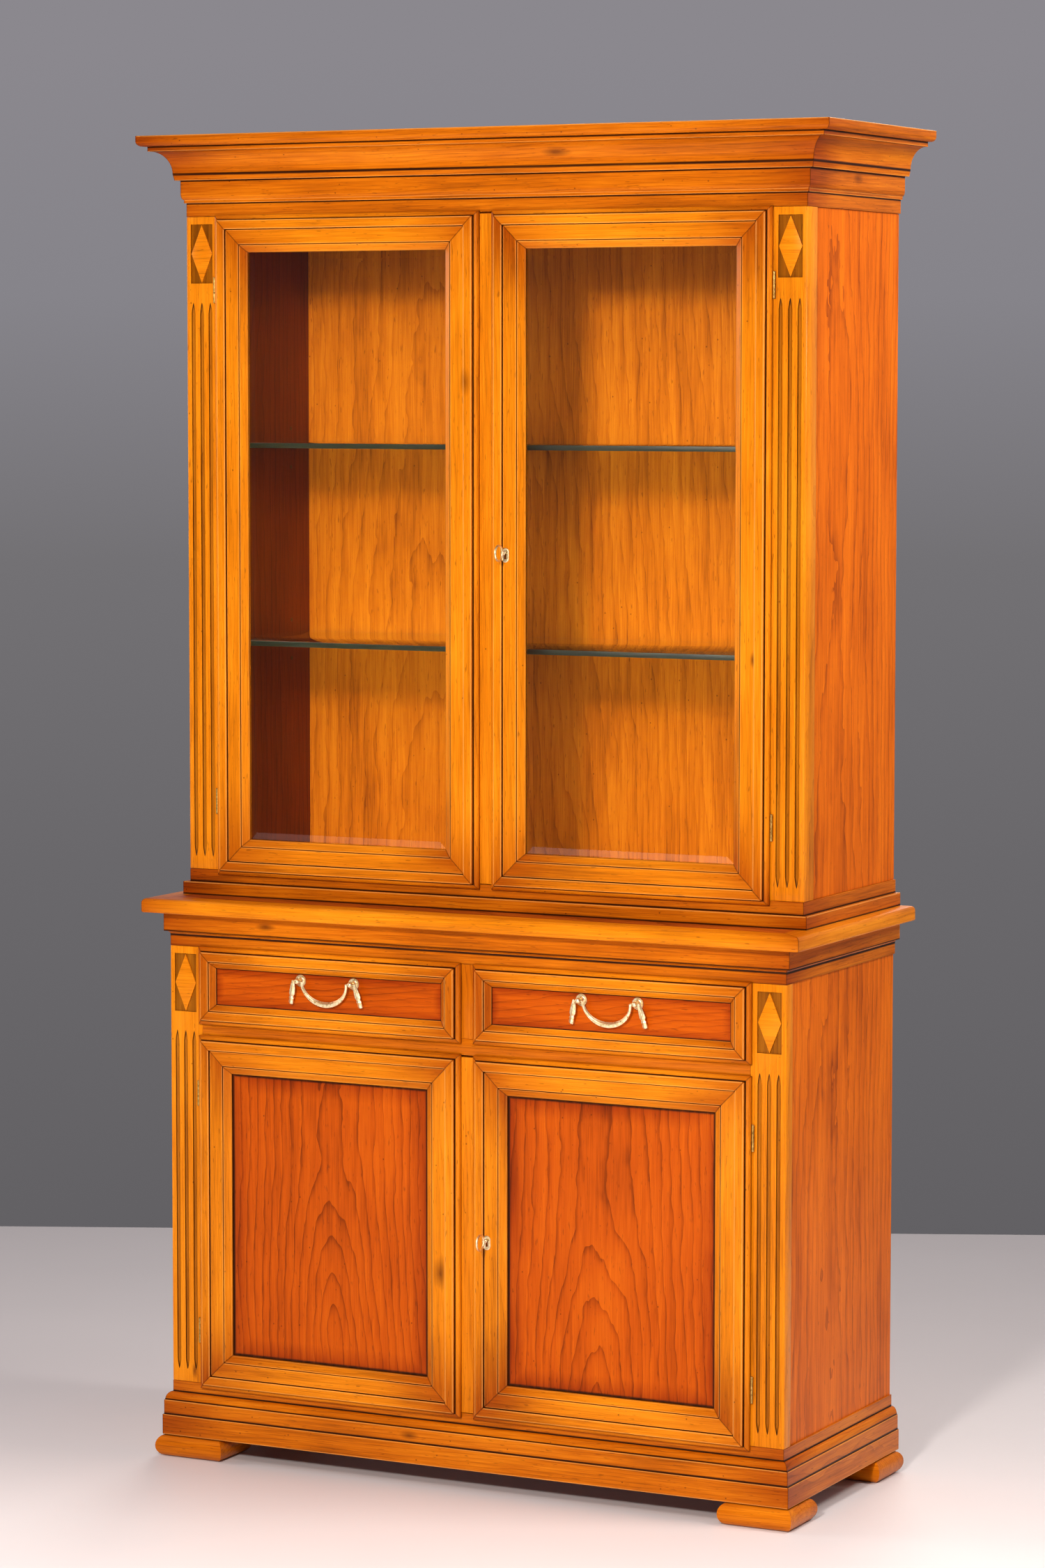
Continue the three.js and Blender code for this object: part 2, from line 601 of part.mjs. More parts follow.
function cornice() {
  const ledge = ARCHITRAVE_LEDGE_PROJECTION;
  const frieze = FRIEZE_PROJECTION;
  const board = CORNICE_BOARD_PROJECTION;
  const coveBottom = CORNICE_FILLET_PROJECTION;
  const coveReach = COVE_PROJECTION - coveBottom;
  const round = CORNICE_BOARD_ROUND;
  return surround([
    [-BOARD, UPPER_POST_TOP],
    [0, UPPER_POST_TOP],
    [0, ARCHITRAVE_TOP],
    [ledge, ARCHITRAVE_TOP],
    [ledge, LEDGE_TOP],
    ...arc(ledge, LEDGE_TOP + FRIEZE_COVE_HEIGHT, frieze - ledge, FRIEZE_COVE_HEIGHT, 270, 360, 4),
    [frieze, FRIEZE_TOP],
    [coveBottom - CORNICE_FILLET_SPLAY, FRIEZE_TOP],
    [coveBottom, CORNICE_FILLET_TOP],
    ...arc(coveBottom + coveReach, CORNICE_FILLET_TOP, -coveReach, COVE_HEIGHT, 0, 90, 6).slice(1),
    [CORNICE_STEP_PROJECTION, COVE_TOP],
    [CORNICE_STEP_PROJECTION, CORNICE_STEP_TOP],
    ...arc(board - round, CORNICE_STEP_TOP + round, round, round, 270, 360, 4),
    [board, CABINET_TOP],
    [-BOARD, CABINET_TOP],
  ], UPPER_SETBACK);
}

function innerBoard(z0, z1) {
  const half = HALF_WIDTH - BOARD - GLUE;
  return block(-half, half, UPPER_SETBACK + BOARD + GLUE, BACK_INNER, z0, z1);
}

add('subbase_moulding', subbaseMoulding(), cherry);
add('upper_floor', innerBoard(SUBBASE_TOP - BOARD, SUBBASE_TOP), veneer);
add('upper_top', innerBoard(UPPER_POST_TOP, UPPER_POST_TOP + BOARD), veneer);
add('cornice', cornice(), cherry);

GLASS_SHELF_HEIGHTS.forEach((height, index) => {
  const reach = SIDE_INNER - SHELF_SIDE_CLEARANCE;
  const z = SUBBASE_TOP + height;
  add(`glass_shelf_${index ? 'top' : 'bottom'}`, block(
    -reach, reach,
    UPPER_SETBACK + UPPER_POST_DEPTH + GLASS_SHELF_SETBACK, BACK_INNER - SHELF_BACK_CLEARANCE,
    z, z + GLASS_SHELF_THICKNESS,
  ), glass);
});

// ---------------------------------------------------------------- door frames

// Lip, fillet, band and bevel from the edge inwards, then back along the rebate
// that holds the glass or panel and the tongue that enters the opening.
const lipOutline = [
  [0, LIP_GAP],
  [0, LIP_HEIGHT / 2],
  ...arc(LIP_WIDTH - LIP_FLAT, LIP_HEIGHT / 2, LIP_FLAT - LIP_WIDTH, LIP_HEIGHT / 2, 30, 90, 2),
  [LIP_WIDTH, LIP_HEIGHT],
  [LIP_WIDTH, FILLET_HEIGHT - EDGE_EASE],
  [LIP_WIDTH + EDGE_EASE, FILLET_HEIGHT],
  [BAND_START - EDGE_EASE, FILLET_HEIGHT],
];

const doorOutline = [
  ...lipOutline,
  [BAND_START, FILLET_HEIGHT - EDGE_EASE],
  [BAND_START, BAND_HEIGHT],
  [BEVEL_START, BAND_HEIGHT],
  [SIGHT, BEVEL_HEIGHT],
  [SIGHT, REBATE_HEIGHT],
  [SIGHT - REBATE_WIDTH, REBATE_HEIGHT],
  [SIGHT - REBATE_WIDTH, -TONGUE_DEPTH],
  [TONGUE_INSET, -TONGUE_DEPTH],
  [TONGUE_INSET, LIP_GAP],
];

function leafRectangle(side, sill, head) {
  const [x0, x1] = span(side, LEAF_INNER, LEAF_OUTER);
  return [x0, x1, sill - LIP_BOTTOM_OVERLAP, head + LIP_TOP_OVERLAP];
}

// The hole that the key goes through: a round hole with a slot for its bit below.
function keyhole(face, z) {
  const reach = KEY_SHAFT_RADIUS + KEYHOLE_CLEARANCE;
  const half = KEY_BIT_THICKNESS / 2 + KEYHOLE_CLEARANCE;
  const front = face - FILLET_HEIGHT;
  const back = face + TONGUE_DEPTH + OVERCUT;
  return join(
    rod('y', reach, front, back, [KEY_X, z]),
    block(KEY_X - half, KEY_X + half, front, back, z - KEY_BIT_HEIGHT - KEYHOLE_CLEARANCE, z),
  );
}

function infill([x0, x1, z0, z1], face, thickness) {
  const inset = SIGHT - REBATE_WIDTH + GLUE;
  const front = face - REBATE_HEIGHT + GLUE;
  return block(x0 + inset, x1 - inset, front, front + thickness, z0 + inset, z1 - inset);
}

function boltPocket(face, z) {
  const y0 = face + BOLT_FRONT - BOLT_CLEARANCE;
  return block(
    LEAF_INNER + BOLT_SETBACK - BOLT_THROW - BOLT_END_CLEARANCE, LEAF_INNER,
    y0, y0 + BOLT_THICKNESS + 2 * BOLT_CLEARANCE,
    z - BOLT_BELOW - BOLT_CLEARANCE, z + BOLT_ABOVE + BOLT_CLEARANCE,
  );
}

function strip(face, sill, head, lockHeight) {
  const bar = block(
    GLUE - LEAF_INNER - TONGUE_INSET, LEAF_INNER - STRIP_EDGE_CLEARANCE,
    face - LIP_GAP + GLUE, face + STRIP_THICKNESS,
    sill + STRIP_END_CLEARANCE, head - STRIP_TOP_GAP,
  );
  return cut(bar, boltPocket(face, lockHeight));
}

// --------------------------------------------------------------------- locks

// The case is a tray screwed to the door's back, open towards the wood.
function lockCase(face, z) {
  const x0 = LEAF_INNER + TONGUE_INSET + GLUE;
  const y0 = face + TONGUE_DEPTH + GLUE;
  const z0 = z - LOCK_HEIGHT / 2;
  const tray = block(x0, x0 + LOCK_WIDTH, y0, y0 + LOCK_DEPTH, z0, z0 + LOCK_HEIGHT);
  const hollow = block(
    x0 + LOCK_WALL, x0 + LOCK_WIDTH - LOCK_WALL,
    y0 - OVERCUT, y0 + LOCK_DEPTH - LOCK_WALL,
    z0 + LOCK_WALL, z0 + LOCK_HEIGHT - LOCK_WALL,
  );
  const slot = block(
    x0 - OVERCUT, x0 + LOCK_WALL + OVERCUT,
    face + BOLT_FRONT - BOLT_CLEARANCE, face + BOLT_FRONT + BOLT_THICKNESS + BOLT_CLEARANCE,
    z - BOLT_BELOW - BOLT_CLEARANCE, z + BOLT_ABOVE + BOLT_CLEARANCE,
  );
  return cut(tray, hollow, slot);
}

function bolt(face, z) {
  const tip = LEAF_INNER + BOLT_SETBACK;
  const y0 = face + BOLT_FRONT;
  const y1 = y0 + BOLT_THICKNESS;
  return join(
    block(tip, tip + BOLT_HEAD_LENGTH, y0, y1, z - BOLT_BELOW, z + BOLT_ABOVE),
    block(tip + OVERCUT, tip + BOLT_LENGTH, y0 + BOLT_THICKNESS / 2, y1, z + BOLT_TAIL_BOTTOM, z + BOLT_ABOVE),
  );
}

function key(face, z) {
  const bowCentre = face - KEY_BOW_CENTRE;
  const bow = new THREE.TorusGeometry(KEY_BOW_RADIUS, KEY_BOW_WIRE, 8, 24);
  bow.rotateY(Math.PI / 2).translate(KEY_X, bowCentre, z);
  const neck = bowCentre + KEY_BOW_RADIUS;
  const tip = face + KEY_TIP_DEPTH;
  const shaft = rod('y', KEY_SHAFT_RADIUS, neck - KEY_BOW_WIRE / 2, tip, [KEY_X, z]);
  const collarStart = neck + KEY_COLLAR_OFFSET;
  const collar = rod('y', KEY_COLLAR_RADIUS, collarStart, collarStart + KEY_COLLAR_WIDTH, [KEY_X, z]);
  const half = KEY_BIT_THICKNESS / 2;
  const bit = block(KEY_X - half, KEY_X + half, tip - KEY_BIT_WIDTH, tip, z - KEY_BIT_HEIGHT, z - OVERCUT);
  return join(bow, shaft, collar, bit);
}

// -------------------------------------------------------------------- hinges

// The barrel and the leaf that wraps the post's inner corner. The door's own leaf
// is screwed behind its lip.
function hinge(side, face, z0) {
  const z1 = z0 + HINGE_LENGTH;
  const axis = [side * HINGE_AXIS_X, face - HINGE_STANDOFF];
  const barrel = rod('z', HINGE_BARREL_RADIUS, z0, z1, axis);
  const inner = POST_INNER - GLUE - HINGE_LEAF;
  const plateFront = face - GLUE - HINGE_LEAF;
  const [a0, a1] = span(side, inner, HINGE_AXIS_X);
  const [b0, b1] = span(side, inner, inner + HINGE_LEAF);
  return join(
    barrel,
    block(a0, a1, plateFront, face - GLUE, z0, z1),
    block(b0, b1, plateFront, face + HINGE_LEAF_DEPTH, z0, z1),
  );
}

// --------------------------------------------------------------------- doors

const doorTiers = [
  { tier: 'upper', face: UPPER_SETBACK, sill: SUBBASE_TOP, head: UPPER_POST_TOP, margin: UPPER_HINGE_MARGIN },
  { tier: 'lower', face: 0, sill: BASE_TOP, head: CUPBOARD_HEAD, margin: LOWER_HINGE_MARGIN },
];

for (const { tier, face, sill, head, margin } of doorTiers) {
  const lockHeight = (sill - LIP_BOTTOM_OVERLAP + head + LIP_TOP_OVERLAP) / 2;
  for (const [label, side] of [['left', -1], ['right', 1]]) {
    const rectangle = leafRectangle(side, sill, head);
    const frame = mitredFrame(doorOutline, rectangle, face);
    add(`${tier}_door_frame_${label}`, side > 0 ? cut(frame, keyhole(face, lockHeight)) : frame, cherry);
    if (tier === 'upper') {
      add(`door_glass_${label}`, infill(rectangle, face, PANE_THICKNESS), glass);
    } else {
      add(`door_panel_${label}`, infill(rectangle, face, PANEL_THICKNESS), veneer);
    }
    const [, , doorBottom, doorTop] = rectangle;
    add(`${tier}_hinge_${label}_bottom`, hinge(side, face, doorBottom + margin), brass);
    add(`${tier}_hinge_${label}_top`, hinge(side, face, doorTop - margin - HINGE_LENGTH), brass);
  }
  add(`${tier}_strip`, strip(face, sill, head, lockHeight), cherry);
  add(`${tier}_lock_case`, lockCase(face, lockHeight), steel);
  add(`${tier}_bolt`, bolt(face, lockHeight), brass);
  add(`${tier}_key`, key(face, lockHeight), brass);
}

// ------------------------------------------------------------------- drawers

const drawerOutline = [
  ...lipOutline,
  [BAND_START + DRAWER_BEVEL_WIDTH, DRAWER_FIELD_HEIGHT],
];

// The front is solid: tongue, lip, moulded edge and sunk field.
function drawerFront([x0, x1, z0, z1]) {
  const steps = [[TONGUE_INSET, -TONGUE_DEPTH], [TONGUE_INSET, LIP_GAP], ...drawerOutline];
  const rings = steps.map(([u, h]) => [
    [x0 + u, -h, z0 + u],
    [x1 - u, -h, z0 + u],
    [x1 - u, -h, z1 - u],
    [x0 + u, -h, z1 - u],
  ]);
  return loft(rings, [[0, 0], [1, 0], [1, 1], [0, 1]]);
}

function drawerBox(side) {
  const [x0, x1] = span(side, DIVIDER_WIDTH / 2 + DRAWER_RUNNING_GAP, POST_INNER - DRAWER_RUNNING_GAP);
  const y0 = TONGUE_DEPTH + GLUE;
  const y1 = BACK_INNER - DRAWER_BACK_GAP;
  const z0 = DRAWER_SILL + DRAWER_BOTTOM_GAP;
  const z1 = LOWER_POST_TOP - DRAWER_TOP_GAP;
  return cut(
    block(x0, x1, y0, y1, z0, z1),
    block(x0 + DRAWER_WALL, x1 - DRAWER_WALL, y0 + DRAWER_WALL, y1 - DRAWER_WALL, z0 + DRAWER_BOTTOM, z1 + OVERCUT),
  );
}

// --------------------------------------------------------------------- pulls

function rosettePost(x, z) {
  const head = PULL_STANDOFF;
  const profile = [
    ...ROSETTE_OUTLINE,
    ...arc(0, head, PULL_HEAD_RADIUS, PULL_HEAD_RADIUS, -50, 90, 6),
  ].map(([r, y]) => new THREE.Vector2(Math.max(r, 0), y));
  profile[profile.length - 1].x = 0;
  const turned = new THREE.LatheGeometry(profile, 14).rotateX(Math.PI);
  turned.translate(x, -DRAWER_FIELD_HEIGHT - GLUE, z);
  const y = -DRAWER_FIELD_HEIGHT - GLUE - head;
  return cut(turned, rod('x', PULL_HOLE_RADIUS, x - ROSETTE_RADIUS, x + ROSETTE_RADIUS, [y, z]));
}

// A tube of changing radius whose rings lie across the direction of travel.
function taperedTube(path, sides) {
  const rings = path.map(({ centre, radius }, index) => {
    const before = path[Math.max(index - 1, 0)].centre;
    const after = path[Math.min(index + 1, path.length - 1)].centre;
    const along = after.clone().sub(before).normalize();
    const across = new THREE.Vector3(0, 1, 0).cross(along).normalize();
    const outward = along.clone().cross(across);
    return Array.from({ length: sides }, (_, i) => {
      const angle = (2 * Math.PI * i) / sides;
      const point = centre.clone()
        .addScaledVector(across, radius * Math.cos(angle))
        .addScaledVector(outward, radius * Math.sin(angle));
      return point.toArray();
    });
  });
  const circle = Array.from({ length: sides }, (_, i) => {
    const angle = (2 * Math.PI * i) / sides;
    return [Math.cos(angle), Math.sin(angle)];
  });
  return loft(rings, circle);
}

// The swag, the pins that pass through both post heads and the tassels outside them.
function swagPull(x, z) {
  const y = -DRAWER_FIELD_HEIGHT - GLUE - PULL_STANDOFF;
  const hang = (dx, drop) => new THREE.Vector3(x + dx, y + SWAG_LEAN * drop, z - drop);
  const swag = arc(0, 0, SWAG_HALF_WIDTH, SWAG_DROP, 180, 360, 16).map(([dx, dz]) => {
    const share = (-dz / SWAG_DROP) ** 2;
    return {
      centre: hang(dx, -dz),
      radius: THREE.MathUtils.lerp(SWAG_END_RADIUS, SWAG_MIDDLE_RADIUS, share),
    };
  });
  const pieces = [taperedTube(swag, 8)];
  for (const side of [-1, 1]) {
    const top = PULL_SPACING / 2 + TASSEL_OFFSET;
    const tassel = TASSEL_OUTLINE.map(([share, radius]) => ({
      centre: hang(side * (top + share * TASSEL_SPLAY), share * TASSEL_LENGTH),
      radius,
    }));
    pieces.push(taperedTube(tassel, 8));
    const [x0, x1] = span(side, SWAG_HALF_WIDTH, top);
    pieces.push(rod('x', PULL_PIN_RADIUS, x + x0, x + x1, [y, z], 10));
  }
  return join(...pieces);
}

for (const [label, side] of [['left', -1], ['right', 1]]) {
  const rectangle = leafRectangle(side, DRAWER_SILL, LOWER_POST_TOP);
  const [x0, x1, z0, z1] = rectangle;
  add(`drawer_front_${label}`, drawerFront(rectangle), cherry);
  add(`drawer_box_${label}`, drawerBox(side), drawerWood);
  const x = (x0 + x1) / 2;
  const z = (z0 + z1) / 2 + PULL_ABOVE_CENTRE;
  add(`${label}_pull_post_a`, rosettePost(x - PULL_SPACING / 2, z), brass);
  add(`${label}_pull_post_b`, rosettePost(x + PULL_SPACING / 2, z), brass);
  add(`${label}_pull_swag`, swagPull(x, z), brass);
}

// ------------------------------------------------------------------ placing

cabinet.position.y = -ORIGIN_DEPTH;

export default cabinet;
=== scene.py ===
import math

import bmesh
import bpy
from mathutils import Matrix, Vector


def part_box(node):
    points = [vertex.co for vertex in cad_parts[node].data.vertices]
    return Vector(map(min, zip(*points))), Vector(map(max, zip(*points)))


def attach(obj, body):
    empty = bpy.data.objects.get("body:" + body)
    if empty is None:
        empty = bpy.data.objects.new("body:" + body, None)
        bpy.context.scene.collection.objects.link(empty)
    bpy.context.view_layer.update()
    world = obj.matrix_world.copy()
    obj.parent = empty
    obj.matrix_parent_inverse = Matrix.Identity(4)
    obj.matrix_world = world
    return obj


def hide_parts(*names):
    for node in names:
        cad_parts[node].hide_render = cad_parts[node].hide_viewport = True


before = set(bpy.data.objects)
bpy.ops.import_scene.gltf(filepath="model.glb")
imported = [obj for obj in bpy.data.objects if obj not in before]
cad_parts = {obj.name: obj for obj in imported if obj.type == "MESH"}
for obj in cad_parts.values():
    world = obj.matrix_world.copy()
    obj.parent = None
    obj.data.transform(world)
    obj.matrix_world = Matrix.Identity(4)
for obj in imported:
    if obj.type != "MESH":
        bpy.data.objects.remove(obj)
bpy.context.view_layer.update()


# --- Cherry and its finish ---------------------------------------------------
# The whole case is stained and lacquered cherry: honey-coloured solid wood for
# frames, posts and mouldings, redder sliced veneer for panels, sides and backs.
# The grain is set out on growth rings, which a board cuts at a shallow angle.

mm = 0.001


def linear(code):
    """An sRGB hex colour as the linear RGBA that a shader reads."""
    parts = [int(code[i:i + 2], 16) / 255 for i in (1, 3, 5)]
    return [c / 12.92 if c <= 0.04045 else ((c + 0.055) / 1.055) ** 2.4 for c in parts] + [1]


def add(tree, kind, inputs=None, stops=(), **settings):
    """One shader node with its settings. An input that is a socket, or a node for
    its first output, is linked, and any other is set. Stops are the places and
    hex colours of a colour ramp."""
    made = tree.nodes.new("ShaderNode" + kind)
    for key, value in settings.items():
        setattr(made, key, value)
    for key, value in (inputs or {}).items():
        if isinstance(value, bpy.types.Node):
            value = value.outputs[0]
        if isinstance(value, bpy.types.NodeSocket):
            tree.links.new(value, made.inputs[key])
        else:
            made.inputs[key].default_value = value
    for number, (place, colour) in enumerate(stops):
        marks = made.color_ramp.elements
        mark = marks[number] if number < len(marks) else marks.new(place)
        mark.position, mark.color = place, linear(colour)
    return made


def blank(name):
    """A new material with an empty tree."""
    material = bpy.data.materials.new(name)
    material.use_nodes = True
    material.node_tree.nodes.clear()
    return material, material.node_tree


GRAIN_ORDER = {"x": (1, 2, 0), "y": (0, 2, 1), "z": (0, 1, 2)}
# Each noise in the wood: how often it turns in a metre across and along the
# grain, and its detail. The rings wander over 150 mm and waver over 25 mm. Tone
# lies in clouds a hand wide, streaks 9 mm wide and fibres 1.5 mm apart. Pores
# are drawn near 1 mm wide, coarser than real ones, so that they show.
WOOD_NOISE = {
    "wander": (7, 2.5, 2.0), "waver": (40, 16, 2.0), "cloud": (13, 3.5, 4.0),
    "streak": (110, 4.5, 2.0), "fibre": (620, 18, 3.0), "pores": (420, 60, 1.0),
}
SPECK_SCALE = (60, 60, 50)
KNOT_LENGTH = 2.5  # times its width


def lacquered_wood(name, along, colours, ring_mm, pith_mm, tilt_deg, figure, roughness=0.3,
                   flecks=1.0, crown=99.0, painted_shade_within=0.0, knots=()):
    """Wood whose growth rings lie ring_mm apart round a pith that runs along the
    grain, moved by pith_mm in the two ways across it and tilted to the board.
    Past the crown, a place along the grain in metres, the pith runs level. Nearer
    the middle of the case than the reach given for the inner faces, the wood is
    darkened with painted shade. Knots are (place, radius) in metres, drawn out along the grain."""
    light, middle, dark = colours
    material, tree = blank(name)
    where = add(tree, "TexCoord").outputs["Object"]
    parts = add(tree, "SeparateXYZ", {0: where})
    grain = add(tree, "CombineXYZ",
                {i: parts.outputs[axis] for i, axis in enumerate(GRAIN_ORDER[along])})
    noise = {}
    for pattern, (across, lengthwise, detail) in WOOD_NOISE.items():
        scaled = add(tree, "Mapping", {"Vector": grain, "Scale": (across, across, lengthwise)})
        noise[pattern] = add(tree, "TexNoise", {"Vector": scaled, "Scale": 1.0, "Detail": detail})

    # the tree's own wander is some rings wide, and its waver less than one
    moved = grain
    for pattern, reach in (("wander", 3.2), ("waver", 0.8)):
        off = add(tree, "VectorMath", {0: noise[pattern].outputs["Color"], 1: (0.5, 0.5, 0.5)},
                  operation="SUBTRACT")
        off = add(tree, "VectorMath", {0: off, "Scale": reach * ring_mm * mm}, operation="SCALE")
        moved = add(tree, "VectorMath", {0: moved, 1: off}, operation="ADD")
    levelled = add(tree, "SeparateXYZ", {0: moved})
    run = add(tree, "Math", {0: levelled.outputs["Z"], 1: crown, 2: 0.12}, operation="SMOOTH_MIN")
    moved = add(tree, "CombineXYZ", {0: levelled.outputs["X"], 1: levelled.outputs["Y"], 2: run})
    laid = add(tree, "Mapping", {
        "Vector": moved, "Location": (pith_mm[0] * mm, pith_mm[1] * mm, 0),
        "Rotation": (math.radians(tilt_deg[0]), math.radians(tilt_deg[1]), 0)})
    rings = add(tree, "TexWave", {
        "Vector": laid, "Scale": math.pi / 10 / (ring_mm * mm), "Distortion": 0.0,
    }, wave_type="RINGS", rings_direction="Z", wave_profile="SAW").outputs["Fac"]
    # each ring darkens slowly, then ends in a thin line of late wood
    late_wood = add(tree, "Math", {0: rings, 1: 7.0}, operation="POWER")
    late_wood = add(tree, "Math", {0: rings, 1: 0.22, 2: late_wood}, operation="MULTIPLY_ADD")
    tone = -0.13
    for part, share in ((noise["cloud"], 0.6), (noise["streak"], 0.42), (noise["fibre"], 0.5),
                        (late_wood, 0.32 * figure)):
        tone = add(tree, "Math", {0: part, 1: share, 2: tone}, operation="MULTIPLY_ADD")
    colour = add(tree, "ValToRGB", {0: tone}, [(0.38, light), (0.68, middle), (1.0, dark)])

    # stains go on in turn, each as (how much, its colour, how it blends)
    stains = []
    # the inner faces of the case are darkened: painted shade
    if painted_shade_within:
        reach = add(tree, "Math", {0: parts.outputs["X"]}, operation="ABSOLUTE")
        within = add(tree, "Math", {0: reach, 1: painted_shade_within}, operation="LESS_THAN")
        stains.append((within, "#81681c", "MULTIPLY"))
    for place, radius in knots:
        off = add(tree, "VectorMath", {0: where, 1: place}, operation="SUBTRACT")
        longer = [1 / KNOT_LENGTH if axis == along else 1.0 for axis in "xyz"]
        off = add(tree, "VectorMath", {0: off, 1: longer}, operation="MULTIPLY")
        away = add(tree, "VectorMath", {0: off}, operation="LENGTH").outputs["Value"]
        away = add(tree, "Math", {0: noise["streak"], 1: 1.6 * radius, 2: away},
                   operation="MULTIPLY_ADD")
        inside = add(tree, "MapRange", {
            "Value": away, "From Min": 1.0 * radius, "From Max": 2.3 * radius,
            "To Min": 0.8, "To Max": 0.0})
        stains.append((inside, "#5a2606", "MIX"))

    # dark pores, and specks of which three in ten are kept
    fleck = add(tree, "MapRange", {
        "Value": noise["pores"], "From Min": 0.68, "From Max": 0.76, "To Max": 0.45 * flecks})
    scaled = add(tree, "Mapping", {"Vector": grain, "Scale": SPECK_SCALE})
    specks = add(tree, "TexVoronoi", {"Vector": scaled, "Scale": 1.0})
    near = add(tree, "MapRange", {
        "Value": specks.outputs["Distance"], "From Min": 0.05, "From Max": 0.085,
        "To Min": 0.7 * flecks, "To Max": 0.0})
    chosen = add(tree, "SeparateColor", {0: specks.outputs["Color"]})
    some = add(tree, "Math", {0: chosen, 1: 0.7}, operation="GREATER_THAN")
    dots = add(tree, "Math", {0: near, 1: some}, operation="MULTIPLY")
    marks = add(tree, "Math", {0: fleck, 1: dots}, operation="MAXIMUM")

    # the burnish towards corners, the glaze wiped into quirks, and below zero
    # the rounded arrises, paler as worn wood and as a painted highlight
    burnish = add(tree, "Attribute", attribute_name="shade").outputs["Fac"]
    patch = add(tree, "Math", {0: noise["cloud"], 1: 1.4, 2: 0.1}, operation="MULTIPLY_ADD")
    burnish = add(tree, "Math", {0: burnish, 1: patch}, operation="MULTIPLY", use_clamp=True)
    glaze = add(tree, "Attribute", attribute_name="glaze").outputs["Fac"]
    wiped = add(tree, "Math", {0: noise["streak"], 1: 0.7, 2: 0.85}, operation="MULTIPLY_ADD")
    wiped = add(tree, "Math", {0: glaze, 1: wiped}, operation="MULTIPLY", use_clamp=True)
    # rounded arrises made paler: partly wear, partly a painted highlight
    worn_and_highlit = add(tree, "Math", {0: glaze, 1: -1.0}, operation="MULTIPLY", use_clamp=True)
    # the pale honey last in this list is that wear and painted highlight on rounded arrises
    stains += [(marks, "#4a1f08", "MIX"), (burnish, "#a8612a", "MULTIPLY"),
               (wiped, "#2b0f03", "MIX"), (worn_and_highlit, "#ffbe62", "MIX")]
    for amount, tint, how in stains:
        colour = add(tree, "Mix", {0: amount, 6: colour, 7: linear(tint)},
                     data_type="RGBA", blend_type=how).outputs[2]

    sheen = roughness - 0.07
    for part, share in ((noise["fibre"], 0.14), (noise["cloud"], 0.08)):
        sheen = add(tree, "Math", {0: part, 1: share, 2: sheen}, operation="MULTIPLY_ADD")
    height = noise["fibre"]
    for part, share in ((marks, -1.2), (late_wood, 0.2)):
        height = add(tree, "Math", {0: part, 1: share, 2: height}, operation="MULTIPLY_ADD")
    bump = add(tree, "Bump", {"Height": height, "Strength": 0.16, "Distance": 0.12 * mm})
    # a thin satin lacquer: soft warm highlights that don't hide the wood's colour
    shader = add(tree, "BsdfPrincipled", {
        "Base Color": colour, "Roughness": sheen, "Normal": bump,
        "IOR": 1.46, "Specular IOR Level": 0.22, "Specular Tint": linear("#ffc68c"),
        "Coat Weight": 0.05, "Coat Roughness": 0.12,
    })
    add(tree, "OutputMaterial", {0: shader})
    return material


HONEY = ("#f0961a", "#d67a0a", "#904a08")
AMBER = ("#de8212", "#bf6206", "#7c3a05")
RED = ("#cf6108", "#b84c04", "#803002")
DEEP = ("#b85a14", "#984010", "#5e2407")
SOLID_RINGS, SOLID_TILT = 6, (1.2, 0.7)
# quarter-sawn solid wood: fine straight lines, honey for door frames and posts,
# and a shade deeper for mouldings
cherry = {
    axis: lacquered_wood(f"cherry_honey_{axis}", axis, HONEY, SOLID_RINGS, pith, SOLID_TILT, 0.35,
                         knots=knots)
    for axis, pith, knots in (
        ("x", (90, 60), [((0.34, -0.14, 0.955), 0.004)]), ("y", (70, 90), []),
        ("z", (160, 45), [((-0.044, -0.203, 0.345), 0.008), ((-0.03, -0.14, 1.74), 0.007),
                          ((0.46, -0.14, 1.32), 0.004), ((-0.5, -0.19, 0.142), 0.004)]))
}
amber = {
    axis: lacquered_wood(f"cherry_amber_{axis}", axis, AMBER, SOLID_RINGS, pith, SOLID_TILT, 0.5,
                         knots=knots)
    for axis, pith, knots in (
        ("x", (150, 90), [((0.13, -0.15, 2.09), 0.007), ((-0.1, -0.2, 0.08), 0.005),
                          ((-0.36, -0.2, 0.875), 0.005)]),
        ("y", (70, 30), [((0.55, 0.05, 2.05), 0.006)]), ("z", (100, 95), []))
}
# veneer sliced flat, so that the rings run out in tall arches
lying_veneer = lacquered_wood("cherry_veneer_lying", "x", RED, 9, (30, -450), (5, 3), 0.7)
shelf_veneer = lacquered_wood("cherry_veneer_shelf", "x", DEEP, 12, (0, -350), (4, 3), 0.8)


# --- Feet ---------------------------------------------------------------------
# Four solid cherry blocks, half round on all four edges with mitred corners,
# dowelled under the base.

def start_clean():
    """Nothing selected, and object mode."""
    if bpy.context.object and bpy.context.object.mode != "OBJECT":
        bpy.ops.object.mode_set(mode="OBJECT")
    bpy.ops.object.select_all(action="DESELECT")


def outline_face(name, points):
    """A flat face through these points, in edit mode and selected."""
    start_clean()
    bpy.ops.mesh.primitive_circle_add(vertices=len(points), radius=0.01, fill_type="NGON")
    piece = bpy.context.object
    piece.name = piece.data.name = name
    for vertex, point in zip(piece.data.vertices, points):
        vertex.co = point
    bpy.ops.object.mode_set(mode="EDIT")
    bpy.ops.mesh.select_all(action="SELECT")
    return piece


def carry(piece, matrix):
    """Moves what is selected, in edit mode, by a matrix."""
    work = bmesh.from_edit_mesh(piece.data)
    for vertex in work.verts:
        if vertex.select:
            vertex.co = matrix @ vertex.co
    bmesh.update_edit_mesh(piece.data)


